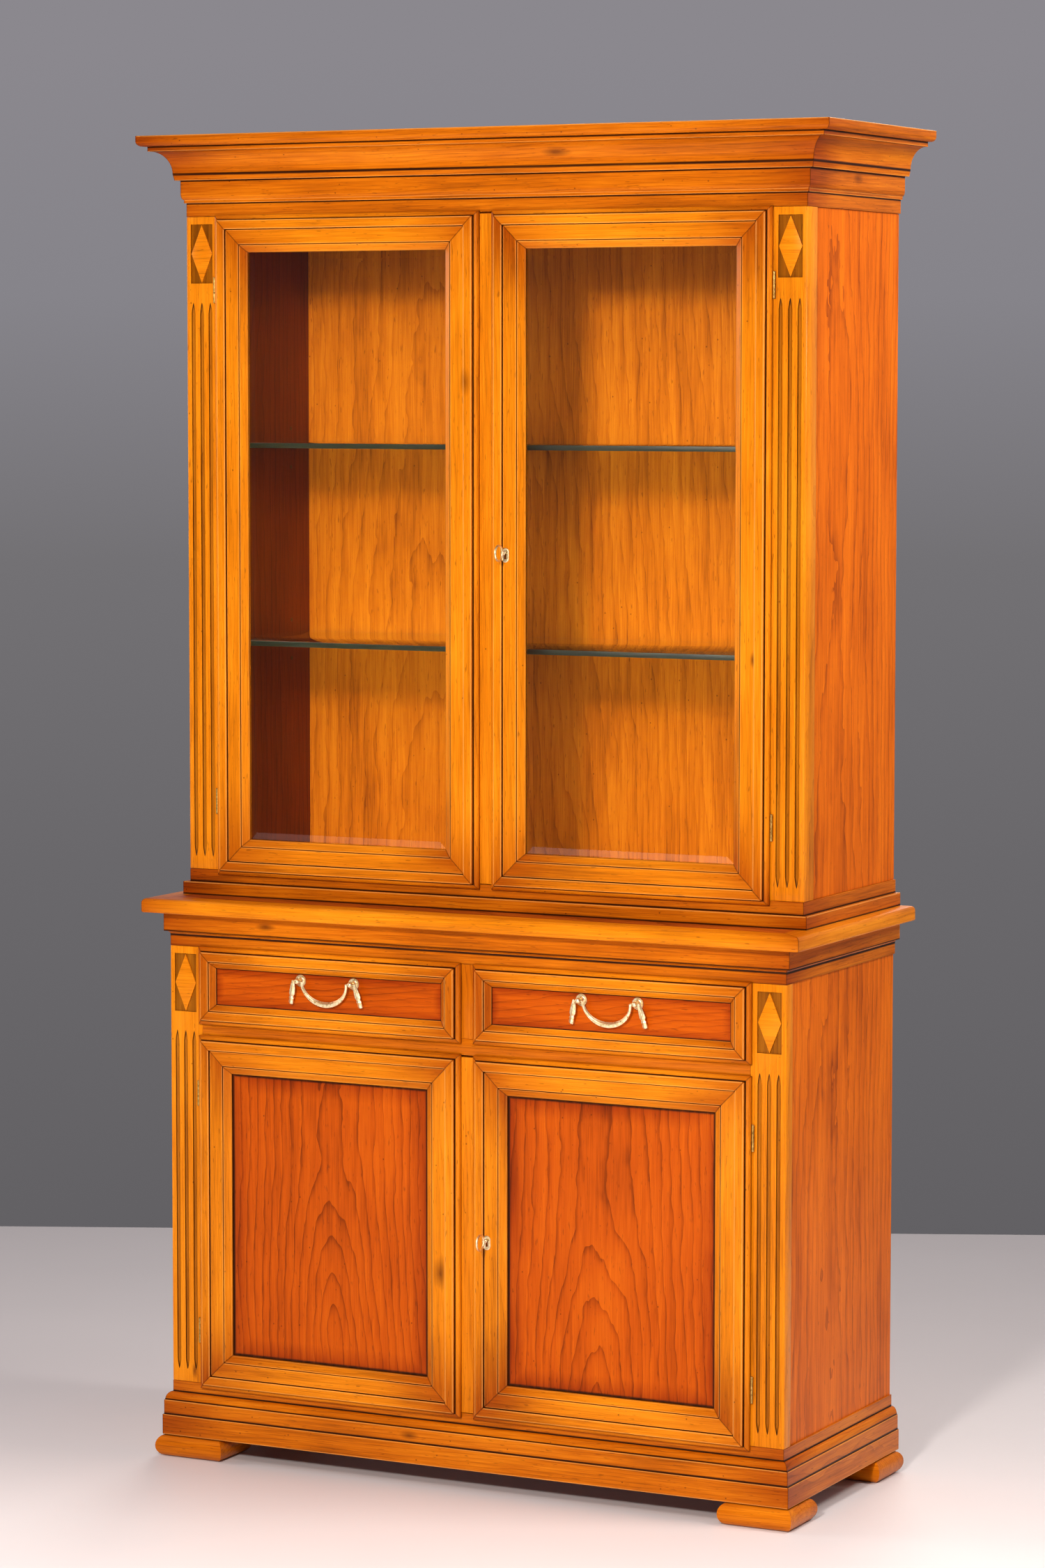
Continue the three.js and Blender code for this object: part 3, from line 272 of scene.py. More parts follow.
def swept(name, section, stations):
    """A section of (a, b) points extruded from station to station, each a matrix."""
    piece = outline_face(name, [stations[0] @ Vector((a, b, 0)) for a, b in section])
    for before, after in zip(stations, stations[1:]):
        bpy.ops.mesh.extrude_region_move()
        carry(piece, after @ before.inverted())
    bpy.ops.mesh.select_all(action="SELECT")
    bpy.ops.mesh.normals_make_consistent(inside=False)
    bpy.ops.object.mode_set(mode="OBJECT")
    return piece


def smooth(piece, degrees=32):
    """Smooth shading that keeps the sharp arrises."""
    start_clean()
    piece.select_set(True)
    bpy.context.view_layer.objects.active = piece
    bpy.ops.object.shade_smooth_by_angle(angle=math.radians(degrees))
    return piece


def finish_with(piece, material, body, slot, *nodes):
    """The piece's finish, its body and the CAD nodes that it stands for; slot is not used."""
    piece.data.materials.clear()
    piece.data.materials.append(material)
    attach(piece, body)
    if nodes:
        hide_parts(*nodes)


def paint(piece, name, value_at):
    """A point attribute from each vertex's place."""
    values = [value_at(v.co) for v in piece.data.vertices]
    layer = piece.data.attributes.new(name, "FLOAT", "POINT")
    layer.data.foreach_set("value", values)


FOOT_STEPS = 12
SQUARE = [(-1, -1), (1, -1), (1, 1), (-1, 1)]
FOOT_BULGE = 14 * mm
for node in ("foot_front_left", "foot_front_right", "foot_back_left", "foot_back_right"):
    low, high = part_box(node)
    centre, size = (low + high) / 2, high - low
    stations = []
    for step in range(FOOT_STEPS + 1):
        angle = math.pi * (step / FOOT_STEPS - 0.5)
        inset = FOOT_BULGE * (1 - math.cos(angle))
        height = centre.z + size.z / 2 * math.sin(angle)
        stations.append(Matrix.Translation((centre.x, centre.y, height))
                        @ Matrix.Diagonal((size.x / 2 - inset, size.y / 2 - inset, 1, 1)))
    block = swept(node + "_block", SQUARE, stations)
    paint(block, "glaze", lambda co: 0.5 if co.z > high.z - 2 * mm else 0.0)
    smooth(block)
    finish_with(block, amber["x"], "root", "cherry", node)


# --- Mouldings ----------------------------------------------------------------
# Cornice, waist, sub-base and base are run in lengths on the spindle moulder,
# mitred at the front corners, glued to the case, and glazed dark in each quirk.

X, Y, Z = Vector((1, 0, 0)), Vector((0, 1, 0)), Vector((0, 0, 1))
BODY_SIDES = (("left", -1), ("right", 1))


def arc(a, b, radius_a, radius_b, start, end, steps):
    """Corners along an elliptical arc, in mm and degrees."""
    turns = [math.radians(start + (end - start) * i / steps) for i in range(steps + 1)]
    return [(a + radius_a * math.cos(t), b + radius_b * math.sin(t), 0, 0) for t in turns]


def carve(piece, tools):
    """Cuts the tools out of the piece and throws them away."""
    for tool in tools:
        start_clean()
        piece.select_set(True)
        bpy.context.view_layer.objects.active = piece
        cut = piece.modifiers.new("cut", "BOOLEAN")
        cut.operation, cut.object, cut.solver = "DIFFERENCE", tool, "EXACT"
        bpy.ops.object.modifier_apply(modifier=cut.name)
        bpy.data.objects.remove(tool)


GLAZE_CORE, GLAZE_REACH = 1.1, 3.0  # where a quirk's glaze is full, and where it ends, in mm
# a rounded arris is paler, partly worn and partly a painted highlight, fading out just past it
WORN_AND_HIGHLIT_ARRIS = -0.3  # the glaze value of a rounded arris
WORN_HIGHLIGHT_FADE = 0.7  # how far past an arris it is rubbed, in mm


def eased(corners):
    """Rounds each corner (a, b, radius, glaze) by its radius, and lays two more
    points beside a glazed one, so that its glaze fades out close by. A rounded
    corner without glaze takes the value of a paler arris: wear with a painted highlight."""
    points = []
    corners = [c for i, c in enumerate(corners) if math.dist(c[:2], corners[i - 1][:2]) > 1e-4]
    for i, (a, b, radius, glaze) in enumerate(corners):
        here = Vector((a, b))
        before = Vector(corners[i - 1][:2]) - here
        after = Vector(corners[(i + 1) % len(corners)][:2]) - here
        if radius:
            half = before.angle(after) / 2
            reach = min(radius / math.tan(half), before.length * 0.45, after.length * 0.45)
            start, end = here + before.normalized() * reach, here + after.normalized() * reach
            plain = [[(*(here + side.normalized() * (reach + WORN_HIGHLIGHT_FADE)), 0)]
                     if side.length > 3 * (reach + WORN_HIGHLIGHT_FADE) else [] for side in (before, after)]
            points += plain[0]
            # an unglazed arris takes the paler value of wear and painted highlight
            for t in (0, 0.25, 0.5, 0.75, 1):
                bent = start * (1 - t) ** 2 + here * 2 * t * (1 - t) + end * t ** 2
                points.append((*bent, glaze or WORN_AND_HIGHLIT_ARRIS))
            points += plain[1]
        elif glaze:
            for side in (before, after):
                laid = [(*(here + side.normalized() * step), value)
                        for step, value in ((GLAZE_REACH, 0), (GLAZE_CORE, glaze))
                        if side.length > 1.3 * step]
                points += laid if side is before else [(a, b, glaze)] + laid[::-1]
        else:
            points.append((a, b, 0))
    return points


MITRE_GAP, MITRE_LINE = 0.12 * mm, 1.3 * mm  # the joint, and the line of glaze beside it
MITRE_GLAZE = 0.45
BURNISH_REACH, BURNISH_DEPTH = 85 * mm, 0.75  # the darker stain towards a mitre


def moulding(name, corners, origin, out, up, along, start, end, cuts, tools=()):
    """A length of moulding. Its outline lies in out and up from origin, it runs from
    start to end along the third way, and cuts are the planes that mitre it."""
    outline = eased(corners)
    piece = outline_face(name, [origin + out * (a * mm) + up * (b * mm) + along * start
                                for a, b, _ in outline])
    bpy.ops.mesh.extrude_region_move(TRANSFORM_OT_translate={"value": along * (end - start)})
    for place, normal in cuts:
        normal = normal.normalized()
        bpy.ops.mesh.select_all(action="SELECT")
        bpy.ops.mesh.bisect(plane_co=place - normal * MITRE_GAP, plane_no=normal,
                            use_fill=True, clear_outer=True)
        for depth in (MITRE_LINE, BURNISH_REACH):
            bpy.ops.mesh.select_all(action="SELECT")
            bpy.ops.mesh.bisect(plane_co=place - normal * depth, plane_no=normal)
    bpy.ops.mesh.select_all(action="SELECT")
    bpy.ops.mesh.normals_make_consistent(inside=False)
    bpy.ops.object.mode_set(mode="OBJECT")
    carve(piece, tools)

    def depth_in(co):
        return min([(place - co).dot(normal.normalized()) for place, normal in cuts], default=1)

    def glaze_at(co):
        a, b = (co - origin).dot(out) / mm, (co - origin).dot(up) / mm
        value = min(outline, key=lambda p: (p[0] - a) ** 2 + (p[1] - b) ** 2)[2]
        return max(value, MITRE_GLAZE) if depth_in(co) < 0.3 * mm else value

    paint(piece, "glaze", glaze_at)
    paint(piece, "shade", lambda co: BURNISH_DEPTH * max(0.0, 1 - depth_in(co) / BURNISH_REACH))
    return smooth(piece)


def surround(name, corners, node, front_y, half, wood):
    """The front length and the two returns of a moulding, mitred together."""
    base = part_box(node)[0].z
    front = Vector((-half, front_y, base))
    piece = moulding(f"{name}_front", corners, front, -Y, Z, X, -0.1, 2 * half + 0.1,
                     [(front, -X + Y), (front + X * 2 * half, X + Y)])
    finish_with(piece, wood["x"], "root", "cherry", node)
    for label, side in BODY_SIDES:
        corner = Vector((side * half, front_y, base))
        piece = moulding(f"{name}_{label}", corners, corner, X * side, Z, Y, -0.1,
                         back_y - front_y, [(corner, -Y - X * side)])
        finish_with(piece, wood["y"], "root", "cherry")


half_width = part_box("upper_post_right")[1].x
lower_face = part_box("lower_post_right")[0].y
upper_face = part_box("upper_post_right")[0].y
back_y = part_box("upper_back")[1].y
INSIDE = -18  # how far each moulding reaches behind the case's face, in mm

surround("base", [
    (INSIDE, 0, 0, 0), (13, 0, 1.5, 0), (13, 32.6, 0.8, 0), (11, 33.6, 0, 0.95),
    (11, 56.2, 1.2, 0), (10, 57, 0, 0.9), *arc(0, 57, 9.6, 13, 12, 90, 7)[:-1],
    (0, 70, 0, 0.95), (0, 88, 0, 0), (INSIDE, 88, 0, 0),
], "base_moulding", lower_face, half_width, amber)

surround("waist", [
    (INSIDE, 0, 0, 0), (0, 0, 0, 0.3), (0, 18, 0, 1.0), *arc(7, 18, -7, 5.5, 15, 90, 5),
    (8, 23.5, 0, 0.8), (8, 54.2, 0, 0.9), (INSIDE, 54.2, 0, 0),
], "waist_moulding", lower_face, half_width, amber)

surround("sub_base", [
    (INSIDE, 0, 0, 0), (8.5, 0, 0, 0.9), (8.5, 20.2, 1.2, 0), (2, 20.2, 0, 0),
    (0, 20.2, 0, 1.0), (0, 40.7, 0, 0), (INSIDE, 40.7, 0, 0),
], "subbase_moulding", upper_face, half_width, amber)

surround("cornice", [
    (INSIDE, 0, 0, 0), (0, 0, 0, 0.25), (0, 21.5, 0, 1.0), (3, 21.5, 0.5, 0), (3, 26.5, 0.5, 0),
    *arc(3, 36, 4, 9.5, 270, 360, 5), (7, 57.5, 0, 1.0), (14, 57.5, 0.6, 0), (16, 67, 0, 0.85),
    *arc(42, 67, -26, 36, 0, 90, 12)[1:-1], (42, 103, 0, 0.8), (45, 103, 0.5, 0),
    (45, 110.5, 0, 0.95), *arc(51, 118.5, 8, 8, 270, 360, 6), (59, 127.5, 1.2, 0),
    (INSIDE, 127.5, 0, 0),
], "cornice", upper_face, half_width, amber)


# --- Worktop ------------------------------------------------------------------
# A veneered board with a solid cherry nosing mitred round its front and sides,
# well rounded above and eased below.

NOSING = 42
low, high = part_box("worktop")
surround("worktop_nosing", [
    (-NOSING, 0, 0, 0), *arc(-3, 3, 3, 3, 270, 360, 4), *arc(-7, 16, 7, 7, 0, 90, 6),
    (-NOSING, 23, 0, 0),
], "worktop", low.y, high.x, cherry)


def board(name, low, high, ease=0.6):
    """A squared board with eased arrises."""
    start_clean()
    low, high = Vector(low), Vector(high)
    bpy.ops.mesh.primitive_cube_add(size=1, location=(low + high) / 2, scale=high - low)
    piece = bpy.context.object
    piece.name = piece.data.name = name
    bpy.ops.object.transform_apply(location=True, rotation=True, scale=True)
    bpy.ops.object.mode_set(mode="EDIT")
    bpy.ops.mesh.select_all(action="SELECT")
    bpy.ops.mesh.bevel(offset=ease * mm, segments=2, affect="EDGES")
    bpy.ops.object.mode_set(mode="OBJECT")
    return smooth(piece)


inner = NOSING * mm + 0.1 * mm
field = board("worktop_field", (low.x + inner, low.y + inner, low.z),
              (high.x - inner, high.y, high.z), 0.2)
finish_with(field, shelf_veneer, "root", "cherry_veneer")


# --- Corner posts -------------------------------------------------------------
# Solid cherry, with three flutes cut by a pointed core-box bit and a sunk field
# above them, stained dark, that holds a raised lozenge.

def cutter(name, section, stations):
    """A tool for carve, left out of renders."""
    tool = swept(name, section, stations)
    tool.hide_render = True
    return tool


FLUTE_PITCH, FLUTE_RADIUS, FLUTE_DEPTH, FLUTE_POINT = 15.7, 3.5, 2.9, 20
FLUTE_FOOT, FLUTE_HEAD = 18 * mm, 134 * mm  # left plain below and above the flutes
FLUTE_END = ((0, 0.02), (0.35, 0.45), (0.75, 0.85), (1, 1))  # share of the point, of the radius
RECESS_SIZE, RECESS_HEAD, RECESS_DEPTH = (40, 94), 12 * mm, 3 * mm
POST_SHOWN = 55.5 * mm  # the width that a door leaves bare
GLAZED_HALF, GLAZED_DEPTH = 22 * mm, 3.2
UPRIGHT = Matrix.Rotation(math.radians(90), 4, "X")  # turns a section to face the front
circle = [(math.cos(math.tau * i / 20), math.sin(math.tau * i / 20)) for i in range(20)]
for tier in ("lower", "upper"):
    for label, side in BODY_SIDES:
        node = f"{tier}_post_{label}"
        low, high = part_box(node)
        post = board(f"{node}_shaft", low, high, 1.0)
        middle = side * (half_width - POST_SHOWN + half_width) / 2
        bottom, top = low.z + FLUTE_FOOT, high.z - FLUTE_HEAD
        heights = [(bottom + s * FLUTE_POINT * mm, r) for s, r in FLUTE_END]
        heights += [(top - s * FLUTE_POINT * mm, r) for s, r in reversed(FLUTE_END)]
        tools = []
        for i in (-1, 0, 1):
            hub = Vector((middle + i * FLUTE_PITCH * mm,
                          low.y + (FLUTE_DEPTH - FLUTE_RADIUS) * mm, 0))
            tools.append(cutter("flute", circle, [
                Matrix.Translation(hub + Z * z)
                @ Matrix.Diagonal((r * FLUTE_RADIUS * mm, r * FLUTE_RADIUS * mm, 1, 1))
                for z, r in heights]))
        top = high.z - RECESS_HEAD
        half = Vector((RECESS_SIZE[0] / 2, 0, RECESS_SIZE[1] / 2)) * mm
        hub = Vector((middle, low.y, top - half.z))
        tools.append(cutter("recess", [(a * half.x, b * half.z) for a, b in SQUARE], [
            Matrix.Translation(hub + Y * depth) @ UPRIGHT for depth in (-2 * mm, RECESS_DEPTH)]))
        carve(post, tools)

        # dark glaze in the flutes, deepest at their arrises, and even in the field
        mesh = post.data
        layer = mesh.attributes.new("glaze", "FLOAT", "CORNER")
        for face in mesh.polygons:
            flat_front = face.normal.y < -0.99 and abs(face.center.y - low.y) < 0.05 * mm
            in_recess = (abs(face.center.x - middle) < half.x + 1 * mm
                         and face.center.z > top - 2 * half.z - 1 * mm)
            for corner in face.loop_indices:
                co = mesh.vertices[mesh.loops[corner].vertex_index].co
                depth = (co.y - low.y) / mm
                value = 0.0
                if (not flat_front and abs(co.x - middle) < GLAZED_HALF
                        and 0 <= depth < GLAZED_DEPTH and low.z + 2 * mm < co.z < high.z - 2 * mm):
                    value = 0.55 if in_recess else 0.4 + 0.6 * max(0.0, 1 - depth / 2.2)
                layer.data[corner].value = value
        smooth(post)
        finish_with(post, cherry["z"], "root", "cherry", node)

        lozenge = outline_face(f"{node}_lozenge", [
            hub + Vector((a * (half.x - 0.8 * mm), RECESS_DEPTH, b * (half.z - 0.8 * mm)))
            for a, b in ((0, -1), (1, 0), (0, 1), (-1, 0))])
        bpy.ops.mesh.extrude_region_move(TRANSFORM_OT_translate={"value": (0, -RECESS_DEPTH, 0)})
        bpy.ops.mesh.select_all(action="SELECT")
        bpy.ops.mesh.normals_make_consistent(inside=False)
        bpy.ops.mesh.bevel(offset=0.5 * mm, segments=2, affect="EDGES")
        bpy.ops.object.mode_set(mode="OBJECT")
        smooth(lozenge)
        finish_with(lozenge, cherry["x"], "root", "cherry")


# --- Sides, backs, floors and shelves -----------------------------------------
# Veneered boards, glued and screwed behind the posts and mouldings. Their plain
# faces are what the CAD boards already are, so those only take the finish.

SIDE_INNER = 0.5206  # within this of the middle, a side board faces inwards

back_veneer = lacquered_wood("cherry_veneer_back", "z", ("#da8014", "#bc640a", "#7c3806"), 15,
                             (240, -420), (2.5, 1), 0.5)


def refinish(node, material):
    """A CAD board with its finish."""
    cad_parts[node].data.materials.clear()
    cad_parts[node].data.materials.append(material)


for label, side in BODY_SIDES:
    # the lacquer on the sides is duller, and their inner faces are darkened with painted shade
    side_veneer = lacquered_wood(f"cherry_veneer_side_{label}", "z",
                                 ("#ee7c06", "#d06201", "#8e3a02"), 9, (-250 * side, 30),
                                 (0.8 * side, 0.6), 0.7, roughness=0.42, painted_shade_within=SIDE_INNER)
    refinish(f"lower_side_{label}", side_veneer)
    refinish(f"upper_side_{label}", side_veneer)
for node in ("lower_back", "upper_back"):
    refinish(node, back_veneer)
for node in ("lower_floor", "upper_floor", "upper_top", "wood_shelf"):
    refinish(node, shelf_veneer)
for tier in ("upper", "lower"):
    refinish(f"{tier}_strip", cherry["z"])


# --- Rail, divider and drawer runners -----------------------------------------
# The rail between drawers and doors is solid cherry, like the short divider
# above it. Deck, partition and guides behind them carry the drawers.

low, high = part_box("drawer_web")
rail_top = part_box("drawer_box_left")[0].z - 1 * mm
post_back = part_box("lower_post_left")[1].y
post_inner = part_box("lower_post_right")[0].x
BOARD, GAP = 18 * mm, 0.3 * mm  # the thickness of a board, and a glued joint
stand = rail_top + 0.2 * mm
rail = board("drawer_rail", (-post_inner + GAP, low.y, low.z),
             (post_inner - GAP, post_back + BOARD, rail_top))
finish_with(rail, amber["x"], "root", "cherry", "drawer_web")
divider = board("drawer_divider", (-15 * mm, low.y, stand), (15 * mm, post_back, high.z))
finish_with(divider, amber["z"], "root", "cherry")
deck = board("drawer_deck", (low.x, post_back + BOARD + GAP, rail_top - BOARD),
             (high.x, high.y, rail_top))
finish_with(deck, shelf_veneer, "root", "cherry_veneer")
partition = board("drawer_partition", (-BOARD / 2, post_back + GAP, stand),
                  (BOARD / 2, high.y, high.z))
finish_with(partition, amber["y"], "root", "cherry_veneer")
for label, side in BODY_SIDES:
    start, stop = sorted((side * post_inner, side * high.x))
    guide = board(f"drawer_guide_{label}", (start, post_back + 2 * GAP, stand),
                  (stop, high.y, rail_top + BOARD))
    finish_with(guide, cherry["y"], "root", "cherry")


# --- Glass --------------------------------------------------------------------
# Clear float glass. The door panes have a 20 mm bevel ground and polished round
# their front, and the shelves have ground edges that show the glass's green.

def clear_glass(name, tint, shadow, roughness=0.0):
    """Glass with its own tint, and the tint of the light that it lets through."""
    material, tree = blank(name)
    solid = add(tree, "BsdfPrincipled", {
        "Base Color": linear(tint), "Roughness": roughness, "IOR": 1.5,
        "Transmission Weight": 1.0})
    # lamps shine through, as they do through real glass
    bare = add(tree, "BsdfTransparent", {"Color": linear(shadow)})
    ray = add(tree, "LightPath")
    both = add(tree, "MixShader", {0: ray.outputs["Is Shadow Ray"], 1: solid, 2: bare})
    add(tree, "OutputMaterial", {0: both})
    return material


def pick_front(piece):
    """The piece's front face selected, in edit mode."""
    bpy.ops.object.mode_set(mode="EDIT")
    bpy.ops.mesh.select_all(action="DESELECT")
    for face in bmesh.from_edit_mesh(piece.data).faces:
        face.select_set(face.normal.y < -0.99)
    bmesh.update_edit_mesh(piece.data)


# polished faces are clear, and ground edges catch the light in a dull green
pane_glass = clear_glass("float_glass_clear", "#f4f8f6", "#fafbfa")
shelf_glass = clear_glass("float_glass_shelf", "#f0f7f4", "#c4cec8")
edge_glass = clear_glass("float_glass_ground_edge", "#2f5f4c", "#405048", 0.35)
BEVEL_WIDTH, BEVEL_DROP = 20 * mm, 1.6 * mm

for label, side in BODY_SIDES:
    node = f"door_glass_{label}"
    low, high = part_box(node)
    pane = board(f"{node}_pane", low, high, 0.15)
    pick_front(pane)
    bpy.ops.mesh.inset(thickness=BEVEL_WIDTH)
    for vertex in bmesh.from_edit_mesh(pane.data).verts:
        if vertex.co.y < (low.y + high.y) / 2 and not vertex.select:
            vertex.co.y += BEVEL_DROP
    bmesh.update_edit_mesh(pane.data)
    bpy.ops.object.mode_set(mode="OBJECT")
    smooth(pane, 2)  # every facet of the bevel stays flat
    finish_with(pane, pane_glass, f"upper_door_{label}", "clear_glass", node)

for node in ("glass_shelf_bottom", "glass_shelf_top"):
    low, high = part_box(node)
    shelf = board(f"{node}_plate", low, high, 0.5)
    finish_with(shelf, shelf_glass, "root", "clear_glass", node)
    shelf.data.materials.append(edge_glass)
    for face in shelf.data.polygons:
        face.material_index = 0 if abs(face.normal.z) > 0.9 else 1


# --- Doors --------------------------------------------------------------------
# Lipped frames of solid cherry, mitred and glued: a round lip over the opening,
# a raised fillet, a flat band and a bevel down to the glass or the panel.

# outlines run from the frame's outer edge inwards, and forward from the case's face
LIP = [
    (0, 1.4, 0, 0.4), *arc(6, 4.75, -6, 4.75, 0, 90, 6), (8, 9.5, 0, 1.0), (8, 16, 1.4, 0),
    (22.5, 16, 1.2, 0),
]
DOOR_OUTLINE = [
    (9, -6.5, 0, 0), (9, 1.4, 0, 0), *LIP, (22.5, 11.6, 0, 1.0), (24.2, 12.5, 0.5, 0),
    (46.2, 12.5, 0.5, 0), (46.8, 11.5, 0, 0.75), (48.5, 11.6, 0.6, 0), (58.2, 4.4, 0.4, 0),
    (59.5, 3.6, 0, 0.3), (59.5, 1.5, 0, 0.9), (50.5, 1.5, 0, 0), (50.5, -6.5, 0, 0),
]
GLASS_BEAD = [
    (50.7, -3.1, 0, 0.4), (58.3, -3.1, 0, 0), (58, -4.6, 0.8, 0), (55, -6.3, 0.8, 0),
    (50.7, -6.3, 0, 0.4),
]


def members(name, corners, low, high, face, body, node, lock_tools=()):
    """The two stiles and two rails of a mitred frame round a rectangle."""
    corner = {"bl": Vector((low.x, face, low.z)), "br": Vector((high.x, face, low.z)),
              "tl": Vector((low.x, face, high.z)), "tr": Vector((high.x, face, high.z))}
    wide, tall = high.x - low.x, high.z - low.z
    for label, start, inward, along, length, cuts in (
            ("stile_left", "bl", X, Z, tall, [("bl", X - Z), ("tl", X + Z)]),
            ("stile_right", "br", -X, Z, tall, [("br", -X - Z), ("tr", -X + Z)]),
            ("rail_bottom", "bl", Z, X, wide, [("bl", Z - X), ("br", Z + X)]),
            ("rail_top", "tl", -Z, X, wide, [("tl", -Z - X), ("tr", -Z + X)])):
        piece = moulding(f"{name}_{label}", corners, corner[start], inward, -Y, along, 0, length,
                         [(corner[key], normal) for key, normal in cuts],
                         lock_tools if label == "stile_left" else ())
        finish_with(piece, cherry["z" if along is Z else "x"], body, "cherry", node)


def depth_inside(low, high):
    """A measure of how far inside a rectangle's edges a place lies, in mm."""
    return lambda co: min(co.x - low.x, high.x - co.x, co.z - low.z, high.z - co.z) / mm


PANEL_RIM = 26  # the width of the darker stain round a panel, in mm
PANEL_HIDDEN = 11  # how far a panel runs behind its frame, in mm


def panel(name, low, high):
    """A veneered panel, stained darker round its rim."""
    piece = board(name, low, high, 0.3)
    pick_front(piece)
    for step in (PANEL_HIDDEN, 2.5, PANEL_RIM):
        bpy.ops.mesh.inset(thickness=step * mm)
    bpy.ops.object.mode_set(mode="OBJECT")
    depth = depth_inside(low, high)

    def shade_at(co):
        inside = (depth(co) - PANEL_HIDDEN) / PANEL_RIM
        return max(0.0, 0.8 * (1 - inside)) if depth(co) > 5 else 0.8

    paint(piece, "glaze",
          lambda co: 0.8 if depth(co) < PANEL_HIDDEN + 1 and co.y < low.y + 1 * mm else 0.0)
    paint(piece, "shade", shade_at)
    return piece


KEYHOLE = (2.9, 3.9, 10)  # radius of its round top, width and drop of its slot
KEY_ABOVE_BOLT = 8 * mm


def keyhole_tools(tier, reach):
    """What cuts a keyhole round a key's shaft, from front to back."""
    low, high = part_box(f"{tier}_key")
    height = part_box(f"{tier}_bolt")[0].z + KEY_ABOVE_BOLT
    radius, width, drop = (value * mm for value in KEYHOLE)
    depths = [Matrix.Translation(((low.x + high.x) / 2, y, height)) @ UPRIGHT for y in reach]
    return [
        cutter("keyhole_round", [(a * radius, b * radius) for a, b in circle], depths),
        cutter("keyhole_slot", [(-width / 2, -drop), (width / 2, -drop), (width / 2, 0),
                                (-width / 2, 0)], depths),
    ]


for tier, face in (("upper", upper_face), ("lower", lower_face)):
    for label, side in BODY_SIDES:
        node, door = f"{tier}_door_frame_{label}", f"{tier}_door_{label}"
        low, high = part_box(node)
        tools = keyhole_tools(tier, (face - 30 * mm, face + 30 * mm)) if side > 0 else ()
        members(door, DOOR_OUTLINE, low, high, face, door, node, tools)
        if tier == "upper":
            # small beads pinned in the rebate hold the pane from behind
            members(f"{door}_bead", GLASS_BEAD, low, high, face, door, node)
        else:
            low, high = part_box(f"door_panel_{label}")
            infill = panel(f"door_panel_{label}_veneer", low, high)
            # flat-sliced leaves, so that arches stand one above the other
            centre = (low.x + high.x) / 2 / mm
            arches = lacquered_wood(
                f"cherry_veneer_panel_{label}", "z", RED, 14 if side < 0 else 16,
                (-centre + 15 * side, 158 + 4 * side), (-13 - side, 1), 0.95,
                crown=0.42 - 0.03 * side)
            finish_with(infill, arches, door, "cherry_veneer", f"door_panel_{label}")


# --- Brass --------------------------------------------------------------------
# Cast and turned brass, lacquered over a pale antique patina: tarnish stays in
# the hollows, and the handled places are brighter.

def antique_brass(name, clean, worn, tarnish, roughness):
    """Metal in soft patches 4 mm wide, with pits under 1 mm, and dull in hollows."""
    material, tree = blank(name)
    where = add(tree, "TexCoord").outputs["Object"]
    patches = add(tree, "TexNoise", {"Vector": where, "Scale": 240.0, "Detail": 4.0})
    pits = add(tree, "TexNoise", {"Vector": where, "Scale": 1500.0, "Detail": 2.0})
    colour = add(tree, "ValToRGB", {0: patches}, [(0.35, clean), (0.58, worn), (0.75, tarnish)])
    hollow = add(tree, "Attribute", attribute_name="glaze").outputs["Fac"]
    colour = add(tree, "Mix", {0: hollow, 6: colour, 7: linear(tarnish)},
                 data_type="RGBA", blend_type="MIX").outputs[2]
    rough = add(tree, "Math", {0: patches, 1: 0.3, 2: roughness - 0.12},
                operation="MULTIPLY_ADD")
    bump = add(tree, "Bump", {"Height": pits, "Strength": 0.25, "Distance": 0.1 * mm})
    shader = add(tree, "BsdfPrincipled", {
        "Base Color": colour, "Metallic": 1.0, "Roughness": rough, "Normal": bump})
    add(tree, "OutputMaterial", {0: shader})
    return material


# pale and bright on pulls and keys, dull on hinges, and grey zinc on lock cases
brass = antique_brass("brass_antique_lacquered", "#fff3d0", "#efdba6", "#8d7140", 0.36)
dull_brass = antique_brass("brass_hinge_rolled", "#cfae66", "#a98643", "#5a4420", 0.38)
steel = antique_brass("steel_bright_zinc", "#b9b6ae", "#96938c", "#55524c", 0.4)


def turned(name, profile, hub, axis, steps=32):
    """A turned piece: the half outline [(radius, distance)] spun round its axis."""
    across = axis.orthogonal().normalized()
    piece = outline_face(name, [hub + across * (r * mm) + axis * (d * mm) for r, d in profile])
    bpy.ops.mesh.delete(type="ONLY_FACE")
    bpy.ops.mesh.select_all(action="SELECT")
    bpy.ops.mesh.spin(steps=steps, angle=math.tau, center=hub, axis=axis)
    bpy.ops.mesh.select_all(action="SELECT")
    bpy.ops.mesh.remove_doubles(threshold=0.004 * mm)
    bpy.ops.mesh.delete_loose()
    bpy.ops.mesh.select_all(action="SELECT")
    bpy.ops.mesh.normals_make_consistent(inside=False)
    bpy.ops.object.mode_set(mode="OBJECT")
    return smooth(piece, 40)


# --- Hinges -------------------------------------------------------------------
# Small butt hinges of rolled brass: a barrel of three knuckles on a steel pin,
# and a leaf screwed to the post with a plate that wraps its corner.

